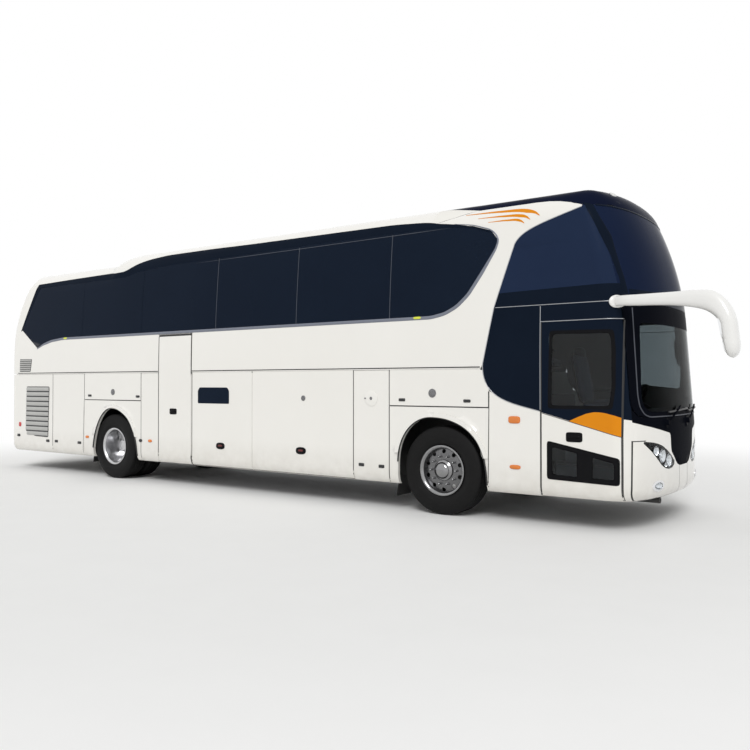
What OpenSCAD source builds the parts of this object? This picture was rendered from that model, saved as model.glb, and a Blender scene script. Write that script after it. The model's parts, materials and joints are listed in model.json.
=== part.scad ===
// Twelve-metre high-deck coach: hollow body of separate panels, glass, doors, flaps, axles and wheels.
// Millimetres. X forward, Y to the left, Z up. Every module is drawn with X measured from the front axle.

/* [Overall] */
// Distance between the front and rear axles
wheelbase = 6200; // [5800:10:6600]
// Front axle to the foremost point of the body
front_overhang = 2420; // [2390:5:2480]
// Rear axle to the rearmost point of the body
rear_overhang = 3200; // [3150:10:3300]
// Width of the body over the flat sides
body_w = 2540; // [2500:2:2560]
// Height of the lower edge of the skirt
skirt_z = 330; // [310:5:350]
// Height of the belt seam where the flaps hang
belt_z = 1710; // [1700:2:1720]
// Lower edge of the window band
window_z = 2330; // [2325:5:2360]
// Height where the rear roof starts to curve in
eaves_low_z = 3220; // [3200:5:3235]
// Height where the raised roof starts to curve in
eaves_high_z = 3350; // [3340:5:3380]
// Radius of the roof edge
roof_r = 280; // [270:5:290]

/* [Panels] */
// Thickness of the side walls, roof and end walls
wall_t = 55; // [50:1:60]
// Thickness of doors and flaps
leaf_t = 40; // [36:1:44]
// Thickness of bonded glass
glass_t = 8; // [6:0.5:10]
// Gap between fixed neighbours
fit = 0.4; // [0.3:0.05:0.6]
// Gap around doors and flaps
shut = 6; // [5.5:0.5:8]

/* [Wheels] */
// Outer diameter of the tyres
tyre_d = 1044; // [1010:2:1060]
// Width of the tyres
tyre_w = 295; // [275:1:305]
// Diameter of the rim at the bead seats
rim_d = 571.5; // [571.5:0.5:572]
// Distance between the two tyres of a twin pair
twin_gap = 335; // [328:1:345]
// Number of wheel nuts
nut_count = 10; // [8:1:10]
// Diameter of the circle of wheel nuts
nut_pcd = 335; // [330:1:340]

/* [Running gear] */
// Distance from the body side in to the middle of the outer tyres
wheel_in = 182.5; // [175:0.5:190]
// Distance from the kingpin out to the middle of the front tyre
kingpin_offset = 207.5; // [204:0.5:212]
// Radius of the kingpins
kingpin_r = 25; // [22:0.5:27]
// Radius of the wheel spindles
spindle_r = 45; // [40:1:48]
// Running clearance of pins and spindles
run = 0.25; // [0.2:0.01:0.4]

/* [Door gear] */
// Length of the swing arm of the front door between its two pivots
arm_l = 430; // [420:2:440]
// Angle that the swing arm turns to open the door
arm_open = 146; // [140:1:150]

/* [Hidden] */
$fn = 48;

half_w = body_w / 2;
rear_axle_x = -wheelbase;
rear_x = rear_axle_x - rear_overhang;
// Foremost reach of the mirrors, which sets where the front axle lies so that the origin is central
mirror_reach = front_overhang + 846;
hinge_proud = 6;
front_axle_x = -(mirror_reach + rear_x - hinge_proud) / 2;

// Body surface: half width, nose and tail as functions of height
roll_z = 460;
roll_in = 70;
lean_r = 16400;
nose_depth = 400;
nose_power = 2.3;
tail_depth = 330;
tail_power = 2.6;
nose_lean = 0.0757;
nose_knee_z = 1000;
brow_z = 2300;
brow_r = 3172;
tail_z = 2200;
tail_r = 1490;
corner_y = half_w - 120;
// Widest reach of the cutters that open the side walls, and the share of the ends' drawn width
wall_reach = half_w - 270;
wide = corner_y / 1150;
step_x = rear_axle_x - 130;
step_l = 650;
cap_x = -150;
cap_ramp = 550;
cap_rise = 110;
cap_fall_x = 1150;
cap_end_x = 1700;
rim_low = 90;

function clamp(v, lo, hi) = min(max(v, lo), hi);
function roll(z) = z < roll_z ? roll_in * (1 - sqrt(1 - pow((roll_z - z) / (roll_z - skirt_z + 10), 2))) : 0;
function eaves(x) = eaves_low_z + (eaves_high_z - eaves_low_z)
    * sqrt(1 - pow(1 - clamp((x - step_x) / step_l, 0, 1), 2));
function arc_in(h) = roof_r - sqrt(roof_r * roof_r - pow(clamp(h, 0, roof_r), 2));
function side_w(x, z) = half_w - roll(z) - pow(max(0, z - belt_z), 2) / (2 * lean_r) - arc_in(z - eaves(x));
function nose(z) = front_overhang - 1.4 * roll(z) - nose_lean
    * max(0, z - nose_knee_z) - pow(max(0, z - brow_z), 2) / (2 * brow_r);
function tail(z) = rear_x + roll(z) + pow(max(0, z - tail_z), 2) / (2 * tail_r);
function swell(u, n) = pow(1 - pow(clamp(u, 0, 1), n), 1 / n);
function side_y(x, z) =
    let (nose0 = nose(z) - nose_depth, tail0 = tail(z) + tail_depth)
    side_w(x, z) * (x > nose0 ? swell((x - nose0) / nose_depth, nose_power)
        : x < tail0 ? swell((tail0 - x) / tail_depth, tail_power) : 1);
function front_x(y, z) = nose(z) - nose_depth * (1 - swell(abs(y) / side_w(0, z), nose_power));
function back_x(y, z) = tail(z) + tail_depth * (1 - swell(abs(y) / side_w(rear_x, z), tail_power));
// Height of the rim where the roof meets the walls, above the eaves
function rim_h(x) = rim_low + cap_rise * min(clamp((x - cap_x) / cap_ramp, 0, 1),
    1 - pow(clamp((x - cap_fall_x) / (cap_end_x - cap_fall_x), 0, 1), 2));
function rim_z(x) = eaves(x) + rim_h(x);

// Stations along the body: shares of the tail's and nose's depth, which shift with height, and fixed ones
tail_end = rear_x + tail_depth;
nose_start = front_overhang - nose_depth;
break_x = concat(
    [for (u = [0.8, 0.68, 0.56, 0.44, 0.32, 0.2, 0.1, 0]) tail_end - tail_depth * u],
    [for (u = [0, 0.08, 0.25, 0.45, 0.7, 1]) step_x + step_l * u],
    [cap_x, cap_x + cap_ramp / 2, cap_x + cap_ramp, cap_fall_x, 1300, 1430, 1560],
    [for (u = [0, 0.1, 0.2, 0.3, 0.4, 0.5, 0.6, 0.7, 0.82]) nose_start + nose_depth * u]);
function station(x, z) = x <= tail_end ? x + tail(z) - rear_x : x >= nose_start ? x
    + nose(z) - front_overhang : x;
function span_x(x0, x1) = within(break_x, x0 < rear_x + 800 ? break_x[0] : x0,
    x1 > front_overhang - 720 ? break_x[len(break_x) - 1] : x1);
break_z = concat(
    [for (h = [0, 15, 35, 60, 95, 130]) skirt_z + h],
    [nose_knee_z, 1350, belt_z, 2000, 2330, 2600, 2850, 3050, eaves_low_z, 3290, eaves_high_z, 3410,
        3470, 3520, 3560]);
function within(list, lo, hi) = concat([lo], [for (v = list) if (v > lo + 1 && v < hi - 1) v], [hi]);

// Solids between two grids of points, and lofts through rings of points
function grid_faces(n, m) = let (k = n * m) concat(
    [for (j = [0:m - 2], i = [0:n - 2]) each [[j * n + i, (j + 1) * n + i, (j + 1) * n + i + 1],
        [j * n + i, (j + 1) * n + i + 1, j * n + i + 1]]],
    [for (j = [0:m - 2], i = [0:n - 2]) each [[k + j * n + i, k + (j + 1) * n + i + 1,
        k + (j + 1) * n + i], [k + j * n + i, k + j * n + i + 1, k + (j + 1) * n + i + 1]]],
    [for (i = [0:n - 2]) each [[i, i + 1, k + i + 1], [i, k + i + 1, k + i]]],
    [for (i = [0:n - 2]) let (a = (m - 1) * n + i) each [[a + 1, a, k + a], [a + 1, k + a, k + a + 1]]],
    [for (j = [0:m - 2]) let (a = j * n) each [[a + n, a, k + a], [a + n, k + a, k + a + n]]],
    [for (j = [0:m - 2]) let (a = j * n + n - 1) each [[a, a + n, k + a + n], [a, k + a + n, k + a]]]);
module slab(outer, inner, n, m) polyhedron(points = concat(outer, inner), faces = grid_faces(n, m));
function ring_faces(rings, n) = concat(
    [[for (i = [0:n - 1]) i]], [[for (i = [n - 1:-1:0]) (rings - 1) * n + i]],
    [for (k = [0:rings - 2], i = [0:n - 1]) let (a = k * n + i, b = k * n + (i + 1) % n)
        each [[a, b + n, b], [a, a + n, b + n]]]);
module loft(rings) polyhedron(points = [for (r = rings) each r],
    faces = ring_faces(len(rings), len(rings[0])));
function bezier(a, b, c, d, steps = 8) = [for (i = [0:steps]) let (t = i / steps, s = 1 - t)
    s * s * s * a + 3 * s * s * t * b + 3 * s * t * t * c + t * t * t * d];
function backwards(list) = [for (i = [len(list) - 1:-1:0]) list[i]];

// Extrusions of a side outline across the body, a cross-section along it, and an end outline along it
module across(y0, y1) translate([0, y1, 0]) rotate([90, 0, 0]) linear_extrude(y1 - y0) children();
module along(x0, x1) translate([x0, 0, 0]) rotate([90, 0, 90]) linear_extrude(x1 - x0) children();
module left() mirror([0, 1, 0]) children();
module both() {
    children();
    left() children();
}

// Part of the right side: a side outline of points [x, z], between two depths below the body surface
module side_piece(outline, depth0, depth1, inner_y = corner_y + fit) {
    x0 = min([for (p = outline) p[0]]) - 3;
    x1 = max([for (p = outline) p[0]]) + 3;
    z0 = min([for (p = outline) p[1]]) - 3;
    z1 = max([for (p = outline) p[1]]) + 3;
    xs = span_x(x0, x1);
    zs = within(break_z, z0, z1);
    intersection() {
        slab([for (z = zs, s = xs) let (x = station(s, z)) [x, -(side_y(x, z) - depth0), z]],
            [for (z = zs, s = xs) let (x = station(s, z)) [x, -(side_y(x, z) - depth1), z]], len(xs),
                len(zs));
        across(-half_w - 50, -inner_y) polygon(outline);
    }
}
// Part of the front or the back: an end outline of points [y, z], between two depths below the body surface
end_shares = [0.21, 0.42, 0.61, 0.78, 0.91, 1];
end_y = concat([for (t = backwards(end_shares)) -t * corner_y], [0], end_shares * corner_y);
module end_piece(outline, depth0, depth1, at_front = true) {
    y0 = min([for (p = outline) p[0]]) - 3;
    y1 = max([for (p = outline) p[0]]) + 3;
    z0 = min([for (p = outline) p[1]]) - 3;
    z1 = max([for (p = outline) p[1]]) + 3;
    ys = within(end_y, y0, y1);
    zs = within(break_z, z0, z1);
    n = len(ys);
    s = at_front ? 1 : -1;
    row = at_front ? ys : backwards(ys);
    intersection() {
        slab([for (z = zs, y = row) [(at_front ? front_x(y, z) : back_x(y, z)) - s * depth0, y, z]],
            [for (z = zs, y = row) [(at_front ? front_x(y, z) : back_x(y, z)) - s * depth1, y, z]], n,
                len(zs));
        along(at_front ? 1000 : rear_x - 50, at_front ? front_overhang + 50 : rear_x + 1400) polygon(outline);
    }
}

// Side layout: seams along the lower side, measured from the front axle
seam_front = 645;
seam_service = -720;
seam_bay2 = -1260;
seam_bay1 = -3040;
post_x = rear_axle_x + 1900;
door_seam = rear_axle_x + 1153;
seam_narrow = rear_axle_x + 740;
seam_arch = rear_axle_x - 760;
seam_corner = rear_axle_x - 1670;
hatch_z = 1269;
door_rear_x = front_overhang - 1159;
door_front_x = front_overhang - 278;
door_top_z = 2208;
header_z = 2394;
swoosh_end_z = 1178;
mid_door_top = 2296;

// Window band: lower and upper edges as short tables of [x, z] from the rear tip to the front tip
band_tip = rear_x + 500;
band_low_edge = [[band_tip, 2519], [rear_x + 1010, 2180], [rear_x + 1200, 2245], [rear_x + 1450, 2300],
    [rear_x + 1800, window_z], [-130, window_z],
    [60, 2365], [220, 2440], [370, 2570], [540, 2810], [700, 3060], [738, 3150]];
band_high_edge = [[band_tip, 2521], [rear_x + 1010, eaves_low_z + 70], [step_x + 350, eaves_low_z + 72],
    [step_x + 630, eaves_low_z + 120], [step_x + 930, eaves_high_z + 22], [step_x + 1430, eaves_high_z + 45],
    [-2200, eaves_high_z + 72], [-650, eaves_high_z + 76],
    [0, eaves_high_z + 70], [400, eaves_high_z + 10], [640, 3280], [738, 3152]];
dividers = [rear_axle_x - 850, rear_axle_x + 720, -3790, -2240, -720];
band_knots = [for (p = concat(band_low_edge, band_high_edge)) p[0]];
function sorted(list) = len(list) < 2 ? list : let (p = list[floor(len(list) / 2)])
    concat(sorted([for (v = list) if (v < p) v]), [p], sorted([for (v = list) if (v > p) v]));
// The stretch of the band between two stations, drawn in by a margin
function band_part(x0, x1, margin) =
    let (xs = within(sorted(band_knots), max(x0, band_tip + 3 * margin), min(x1, 738 - margin)))
    concat([for (x = xs) [x, lookup(x, band_low_edge) + margin]],
        [for (x = backwards(xs)) [x, max(lookup(x, band_high_edge),
            lookup(x, band_low_edge) + 2 * margin + 1) - margin]]);

// Swoosh between the white skirt and the dark front, from the door back to its rearmost point
swoosh = bezier([door_rear_x - 4, 1243], [900, 1330], [545, 1370], [565, 1770], 10);
function shifted(list, d) = [for (p = list) p + d];

// Upper rear edge of the dark front quarter glass
brow = bezier([929, 3080], [1000, 3260], [1330, 3310], [1690, 3425], 8);
module upper_wall() {
    outline = concat(
        [[rear_x + 100, belt_z + 14 + fit], [rear_x + 100, 2300], [rear_x + 150, 2600], [rear_x + 300, 3000]],
        [[rear_x + 440, rim_z(rear_x + 440) - fit]],
        [for (x = break_x) if (x > tail_end && x < nose_start) [x, rim_z(x) - fit]],
        [[1690, rim_z(1690) - fit]], backwards(brow), [[702, header_z], [564, 1770],
            [545, belt_z + 14 + fit]]);
    difference() {
        side_piece(outline, 0, wall_t, wall_reach);
        box(rear_x, tail_end + 600, -corner_y - fit, 250 - corner_y, belt_z, 4000);
        across(-half_w - 60, -wall_reach) polygon(band_part(rear_x, 800, 0));
        children();
    }
}
// Posts behind the joints between the panes
post_gap = 1.2;
module pillars() for (x = dividers)
    side_piece([[x - 45, lookup(x, band_low_edge) + fit], [x + 45, lookup(x, band_low_edge) + fit],
        [x + 45, lookup(x + 45, band_high_edge) - fit], [x - 45, lookup(x - 45, band_high_edge) - fit]],
        glass_t + post_gap, wall_t);

// Hook hinge: a bead on the leaf runs in a slotted rail; drawn round the axis with the leaf hanging along -Y
bead_r = 6;
hinge_in = 10 - hinge_proud;
hinge_drop = 12;
module bead() {
    circle(r = bead_r, $fn = 32);
    translate([-2, -hinge_drop - 3]) square([4, hinge_drop + 3]);
}
module rail_section(top) difference() {
    translate([-14, -4]) square([24, top + 4]);
    circle(r = bead_r + 0.3, $fn = 32);
    polygon([[0, 0], [-14, -38], [0, -40], [28, -28], [40, 0], [36, 9]]);
}
hinge_y = half_w - hinge_in;
hinge_z = belt_z;
module belt_rail(x0, x1) along(x0, x1) translate([-hinge_y, hinge_z]) mirror([1, 0]) rail_section(14);
rail_front = 538;
rail_rear = rear_x + 360;
module side_wall_right() color("whitesmoke") {
    upper_wall() across(-half_w - 60, -wall_reach) polygon([[door_seam - 5, belt_z - 30],
        [door_seam - 5, mid_door_top + 4],
        [post_x + 14 + fit, mid_door_top + 4], [post_x + 14 + fit, belt_z - 30]]);
    pillars();
    belt_rail(rail_rear, door_seam - 5);
    belt_rail(post_x + 14 + fit, rail_front);
    door_post();
}
module side_wall_left() color("whitesmoke") left() {
    upper_wall();
    pillars();
    belt_rail(rail_rear, rail_front);
}
// Post with the slotted rail that carries the middle door
post_z0 = 470;
post_z1 = 1690;
module door_post() translate([post_x, -hinge_y, post_z0]) linear_extrude(post_z1 - post_z0) rotate(-90)
    rail_section(14);
module windows() {
    edges = concat([rear_x], dividers, [800]);
    for (i = [0:len(edges) - 2])
        side_piece(band_part(edges[i] + 3, edges[i + 1] - 3, 2), 0, glass_t);
}
module windows_right() color("darkslategray") windows();
module windows_left() color("darkslategray") left() windows();

// Lower side: a cross-section of the side between two heights, as thick as a leaf
function side_levels(z0, z1) = within(break_z, z0, z1);
module leaf_section(z0, z1) polygon(concat([for (z = side_levels(z0, z1)) [-side_w(0, z), z]],
    [for (z = backwards(side_levels(z0, z1))) [-side_w(0, z) + leaf_t, z]]));
module plain_panel(x0, x1, z0, z1) along(x0, x1) leaf_section(z0, z1);
fixed_top = belt_z - 4 - fit;
leaf_top = belt_z - hinge_drop;
// Wheel arch outlines: rear foot, rear shoulder, crown, front slope, front foot
front_arch = concat([[-585, 200]], bezier([-585, 600], [-580, 920], [-370, 1145], [-110, 1145], 8),
    bezier([-60, 1143], [150, 1138], [300, 1060], [380, 1000], 5),
        bezier([420, 965], [560, 840], [612, 640], [620, 200], 6));
rear_arch = shifted(concat([[-505, 200]], bezier([-500, 480], [-460, 860], [-230, 1140], [-30, 1140], 8),
    bezier([20, 1140], [180, 1135], [300, 1060], [400, 990], 5),
    bezier([440, 950], [560, 800], [630, 640], [650, 200], 6)), [rear_axle_x, 0]);
flare = 60;
flare_out = 14;
function grown(list, c, d) = [for (p = list) p + d * (p - c) / norm(p - c)];
module arch_panel(x0, x1, arch, c) {
    difference() {
        union() {
            plain_panel(x0, x1, skirt_z, hatch_z - shut / 2);
            intersection() {
                across(-half_w - flare_out, -half_w + 10) polygon(grown(arch, c, flare));
                along(x0, x1) translate([-2000, 700]) square([1500, hatch_z - 20 - 700]);
            }
        }
        across(-half_w - 60, -wall_reach) polygon(arch);
    }
}
louvre_x0 = rear_axle_x - 2520;
louvre_x1 = rear_axle_x - 1790;
louvre_count = 9;
module rear_corner_panel() difference() {
    side_piece([[rear_x + 70, skirt_z], [seam_corner - shut / 2, skirt_z],
        [seam_corner - shut / 2, fixed_top],
        [rear_x + 70, fixed_top]], 0, leaf_t);
    for (i = [0:louvre_count - 1]) let (z = 700 + i * 84)
        across(-half_w - 60, 170 - half_w) polygon([[louvre_x0 + 20 + 4 * i, z], [louvre_x1 - 20, z],
            [louvre_x1 - 20, z + 46], [louvre_x0 + 20 + 4 * i, z + 46]]);
}
module skirt_common() {
    plain_panel(seam_bay2 + shut / 2, seam_service - shut / 2, skirt_z, fixed_top);
    arch_panel(seam_service + shut / 2, seam_front + shut / 2 - fit, front_arch, [0, tyre_d / 2]);
    arch_panel(seam_arch + shut / 2, seam_narrow - shut / 2, rear_arch, [rear_axle_x, tyre_d / 2]);
    plain_panel(seam_narrow + shut / 2, door_seam - 5, skirt_z, fixed_top);
    plain_panel(seam_corner + fit, seam_arch - shut / 2, skirt_z, fixed_top);
    rear_corner_panel();
}
skirt_top = shifted([for (p = swoosh) if (p[1] < 1465) p], [0, -fit]);
module skirt_right() color("whitesmoke") {
    skirt_common();
    side_piece(concat([[seam_front + shut / 2, skirt_z], [door_rear_x - 4, skirt_z]], skirt_top,
        [[seam_front + shut / 2, 1460]]), 0, wall_t);
    side_piece([[door_front_x + 4, skirt_z], [2400, skirt_z], [2400, 1130],
        [door_front_x + 4, swoosh_end_z - fit]], 0, wall_t);
}
module skirt_left() color("whitesmoke") left() {
    skirt_common();
    side_piece(concat([[seam_front + shut / 2, skirt_z], [2400, skirt_z], [2400, 1130],
        [door_front_x + 4, swoosh_end_z - fit]],
        skirt_top, [[seam_front + shut / 2, 1460]]), 0, wall_t);
}

// Dark front sides: frame round the door or the driver's window, up to the header seam
module front_frame_right() color("dimgray") {
    side_piece(concat(swoosh, [[703, header_z - fit], [2400, header_z - fit], [2400, 1130 + fit],
        [door_front_x + 4, swoosh_end_z],
        [door_front_x + 4, door_top_z + 4], [door_rear_x - 4, door_top_z + 4]]), 0, wall_t);
    translate([pivot[0], pivot[1], door_top_z + 8]) difference() {
        translate([-45, -(half_w - wall_t + pivot[1]) + 6, 0])
            cube([90, half_w - wall_t + pivot[1] + 40, 40]);
        translate([0, 0, -1]) cylinder(r = arm_post_r + run, h = 60);
    }
}
driver_pane = concat([[1300, 1560], [2040, 1480]], bezier([2070, 1500], [2110, 1560], [2080, 2150],
    [2060, 2290], 4),
    bezier([2030, 2300], [1700, 2310], [1400, 2310], [1330, 2300], 3));
module front_frame_left() color("dimgray") left() difference() {
    side_piece(concat(swoosh, [[703, header_z - fit], [2400, header_z - fit], [2400, 1130 + fit],
        [door_front_x + 4, swoosh_end_z]]), 0, wall_t);
    across(-half_w - 60, -wall_reach) polygon(driver_pane);
}
function centre(list) = [for (k = [0, 1]) (min([for (p = list) p[k]]) + max([for (p = list) p[k]])) / 2];
function half_size(list) = [for (k = [0, 1]) (max([for (p = list) p[k]]) - min([for (p = list) p[k]])) / 2];
function drawn_in(list, d) = let (c = centre(list), w = half_size(list))
    [for (p = list) [c[0] + (p[0] - c[0]) * (1 - d / w[0]), c[1] + (p[1] - c[1]) * (1 - d / w[1])]];
quarter = concat([[704, header_z]], shifted(brow, [1, -1]),
    [[1691, rim_z(1900) - fit], [2400, rim_z(1900) - fit], [2400, header_z]]);
module cab_glass() color("darkslategray") {
    both() side_piece(quarter, 0, 14);
    left() side_piece(drawn_in(driver_pane, 1), 0, glass_t);
}

// Front end: lower and upper windscreens, dark mask, bumper and lamps, as outlines of [y, z]
screen_low_z = 1195;
screen_split_z = 2340;
screen_high_z = 2404;
function mirrored(list) = concat(list, backwards([for (p = list) [-p[0], p[1]]]));
screen_foot = bezier([-corner_y, 1380], [-corner_y, 1260], [50 - corner_y, screen_low_z],
    [150 - corner_y, screen_low_z], 5);
// Clockwise outline moved inwards by a distance, square to its edges
function unit(p) = p / norm(p);
function inset(list, d) = let (n = len(list)) [for (i = [0:n - 1])
    let (u = unit(list[i] - list[(i + n - 1) % n]), v = unit(list[(i + 1) % n] - list[i]))
    list[i] + d * [u[1] + v[1], -u[0] - v[0]] / (1 + u * v)];
// Outlines drawn for the nominal width, and drawn in with it
function drawn_wide(list) = [for (p = list) [p[0] * wide, p[1]]];
mask_edge = drawn_wide(concat([[-1150, 1146], [-1000, 1112], [-480, 1015]],
    bezier([-460, 990], [-440, 930], [-455, 870], [-425, 812], 4),
    [[-370, 768], [-320, 728], [-285, 695], [-235, 664], [-150, 642]]));
lamp = drawn_wide(concat(bezier([-1015, 945], [-800, 928], [-620, 915], [-335, 705], 7),
    bezier([-345, 670], [-420, 610], [-560, 625], [-640, 660], 4),
    bezier([-700, 690], [-830, 800], [-930, 860], [-1020, 925], 4)));
fog = drawn_wide([for (k = [0:11]) [-760 + 105 * cos(30 * k), 470 + 48 * sin(30 * k)]]);
module windscreen_lower() color("lightsteelblue") end_piece(mirrored(concat([[-corner_y,
    screen_split_z]], screen_foot)), 0, 10);
module windscreen_upper() color("darkslategray") end_piece(mirrored([[-corner_y, screen_high_z],
    [-corner_y, rim_z(1900) - fit]]), 0, 10);
module front_mask() color("dimgray") {
    end_piece(concat(mirrored(shifted(screen_foot, [0, -fit])), backwards(mirrored(mask_edge))), 0, leaf_t);
    end_piece(mirrored([[-corner_y, screen_split_z + fit], [-corner_y, screen_high_z - fit]]), 0, leaf_t);
    for (y = [-560, 180]) {
        end_piece([for (k = [0:11]) [y + 32 * cos(30 * k), 1130 + 32 * sin(30 * k)]], -34, 20);
        end_piece([[y - 14, 1128], [y + 14, 1128], [y + 430, 1290], [y + 424, 1304]], -34, -18);
    }
}
module front_bumper() color("whitesmoke") difference() {
    end_piece(concat([[corner_y, skirt_z], [-corner_y, skirt_z]],
        mirrored(shifted(mask_edge, [0, -fit]))), 0, 60);
    for (s = [1, -1]) {
        along(1500, 2600) polygon([for (p = lamp) [s * p[0], p[1]]]);
        along(1500, 2600) polygon([for (p = fog) [s * p[0], p[1]]]);
    }
}
module headlamps() color("gainsboro") both() {
    end_piece(inset(lamp, 1), 0, 45);
    end_piece(drawn_in(fog, 0.6), 0, 45);
}

// Roof: a shell over the rim, rounded at all edges, with a crown, lower at the rear
crown = 45;
function rise(d, h) = let (s = sqrt(roof_r * roof_r - h * h))
    d >= s ? 1 : (sqrt(roof_r * roof_r - pow(s - max(d, 0), 2)) - h) / (roof_r - h);
function roof_z(x, y) = let (z = rim_z(x), h = rim_h(x))
    z + (roof_r - h + crown * (1 - pow(y / half_w, 2))) * rise(side_w(x, z) - abs(y), h)
        * rise(front_x(y, z) - x, rim_low) * rise(x - back_x(y, z), rim_low);
roof_rows = [-1, -0.985, -0.955, -0.91, -0.85, -0.76, -0.5, 0, 0.5, 0.76, 0.85, 0.91, 0.955, 0.985, 1];
roof_tail = tail(rim_z(rear_x + 500)) + tail_depth;
roof_nose = nose(rim_z(1900)) - nose_depth;
function drawn_x(x) = x < roof_tail ? roof_tail + (x - roof_tail) * (1 - wall_t / tail_depth)
    : x > roof_nose ? roof_nose + (x - roof_nose) * (1 - wall_t / nose_depth) : x;
module roof_shell(xs) {
    outer = [for (t = roof_rows, x = xs) let (y = t * side_y(x, rim_z(x))) [x, y, roof_z(x, y)]];
    inner = [for (t = roof_rows, x = xs) let (w = side_y(x, rim_z(x)), y = t * w) [drawn_x(x),
        t * w * (1 - wall_t / half_w), rim_z(x) + 0.79 * (roof_z(x, y) - rim_z(x))]];
    slab(outer, inner, len(xs), len(roof_rows));
}
module roof() color("whitesmoke") roof_shell(concat([for (u = [0.99, 0.93, 0.8, 0.6, 0.4, 0.2,
    0]) roof_tail - tail_depth * u],
    [for (d = [60, 140, 270]) roof_tail + d], [for (u = [0, 0.08, 0.25, 0.45, 0.7, 1])
        step_x + step_l * u], [cap_x - fit]));
module roof_cap() color("dimgray") roof_shell(concat([cap_x, cap_x + cap_ramp / 2, cap_x + cap_ramp,
    cap_fall_x, 1300, 1430, 1560],
    [for (u = [0, 0.2, 0.4, 0.6, 0.8, 0.93, 0.99]) roof_nose + nose_depth * u]));

// Rear end
lid_y = corner_y - 320;
lid_z0 = 560;
lid_hinge_z = 1652;
rear_rail_y = 300;
rear_pane = mirrored(drawn_wide(concat(bezier([-980, 2420], [-985, 2600], [-950, 2950], [-900, 3060], 4),
    [[0, 3090]])));
tail_lamp = drawn_wide([[-1105, 930], [-925, 930], [-905, 1480], [-1085, 1520]]);
lid_gap = mirrored([[-lid_y - shut, lid_z0 - shut], [-lid_y - shut, lid_hinge_z - 6],
    [-rear_rail_y - 1, lid_hinge_z - 6], [-rear_rail_y - 1, lid_hinge_z + 14 + fit]]);
module rear_panel() color("whitesmoke") {
    difference() {
        end_piece(mirrored([[-corner_y, skirt_z], [-corner_y, rim_z(rear_x + 500) - fit]]), 0, wall_t, false);
        along(rear_x - 200, rear_x + 1400) polygon(lid_gap);
        along(rear_x - 200, rear_x + 1400) polygon(rear_pane);
        for (s = [1, -1]) along(rear_x - 200, rear_x + 1400) polygon([for (p = tail_lamp) [s * p[0], p[1]]]);
    }
    across(-rear_rail_y, rear_rail_y) translate([rear_x + hinge_in, lid_hinge_z]) mirror([1, 0])
        rail_section(14);
}
module rear_window() color("darkslategray") end_piece(drawn_in(rear_pane, 0.8), 0, glass_t, false);
module tail_lamps() color("firebrick") both() end_piece(drawn_in(tail_lamp, 0.6), 0, 30, false);
module engine_lid() color("whitesmoke") {
    difference() {
        end_piece([[-lid_y, lid_z0], [lid_y, lid_z0], [lid_y, lid_hinge_z - hinge_drop],
            [-lid_y, lid_hinge_z - hinge_drop]], 0, leaf_t, false);
        for (i = [0:7]) along(rear_x - 200, rear_x + 1400) translate([270 - lid_y, 720 + 75 * i])
            square([2 * lid_y - 540, 40]);
    }
    across(-rear_rail_y + 10, rear_rail_y - 10) translate([rear_x + hinge_in, lid_hinge_z])
        mirror([1, 0]) bead();
}

// Front door on a swing arm that turns on a post beside the doorway
pivot = [door_front_x - 122, 210 - half_w];
arm_post_r = 20;
arm_r = 22;
arm_pin_r = 14;
arm_z = [1080, 2165];
bracket_drop = 50;
elbow_open = [60, -240];
function turned(p, a) = [p[0] * cos(a) - p[1] * sin(a), p[0] * sin(a) + p[1] * cos(a)];
elbow = turned(elbow_open, -arm_open);
arm_tip = [-arm_l, 0];
door_t = 45;
door_pane = concat([[1360, 1290], [2035, 1290]], bezier([2050, 1310], [2065, 1500], [2060, 1900],
    [2040, 2085], 4), [[1380, 2095], [1360, 2075]]);
door_low_pane = [[1360, 545], [2090, 525], [2090, 757], [1360, 905]];
module front_door() color("whitesmoke") {
    difference() {
        side_piece([[door_rear_x + 4, skirt_z + 8], [door_front_x - 4, skirt_z + 8],
            [door_front_x - 4, door_top_z - 4], [door_rear_x + 4, door_top_z - 4]], 0, door_t);
        across(-half_w - 60, -wall_reach) polygon(door_pane);
        across(-half_w - 60, -wall_reach) polygon(door_low_pane);
    }
    for (z = arm_z) translate([pivot[0] + arm_tip[0], pivot[1], z - bracket_drop]) difference() {
        union() {
            cylinder(r = 34, h = 18);
            translate([-30, -(half_w - door_t + pivot[1]) - 4, 0])
                cube([60, half_w - door_t + pivot[1] + 4, 18]);
        }
        translate([0, 0, -1]) cylinder(r = arm_pin_r + run, h = 30);
    }
}
module front_door_glass() color("darkslategray") {
    side_piece(drawn_in(door_pane, 0.8), 0, glass_t);
    side_piece(drawn_in(door_low_pane, 0.8), 0, glass_t);
}
module rod(p, q, r) translate(p) rotate([0, acos((q[2] - p[2]) / norm(q - p)),
    atan2(q[1] - p[1], q[0] - p[0])]) cylinder(r = r, h = norm(q - p));
module door_arm() color("silver") translate([pivot[0], pivot[1], 0]) {
    translate([0, 0, step_z + 1]) cylinder(r = arm_post_r, h = door_top_z + 40 - step_z);
    for (z = arm_z) {
        rod([0, 0, z], [elbow[0], elbow[1], z], arm_r);
        translate([elbow[0], elbow[1], z - arm_r - 6]) cylinder(r = arm_r + 4, h = 2 * arm_r + 12);
        rod([elbow[0], elbow[1], z], [arm_tip[0], arm_tip[1], z], arm_r);
        translate([arm_tip[0], arm_tip[1], z - arm_r - 6]) cylinder(r = arm_r + 4, h = 2 * arm_r + 12);
        translate([arm_tip[0], arm_tip[1], z - bracket_drop - 4]) cylinder(r = arm_pin_r, h = bracket_drop);
    }
}
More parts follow.
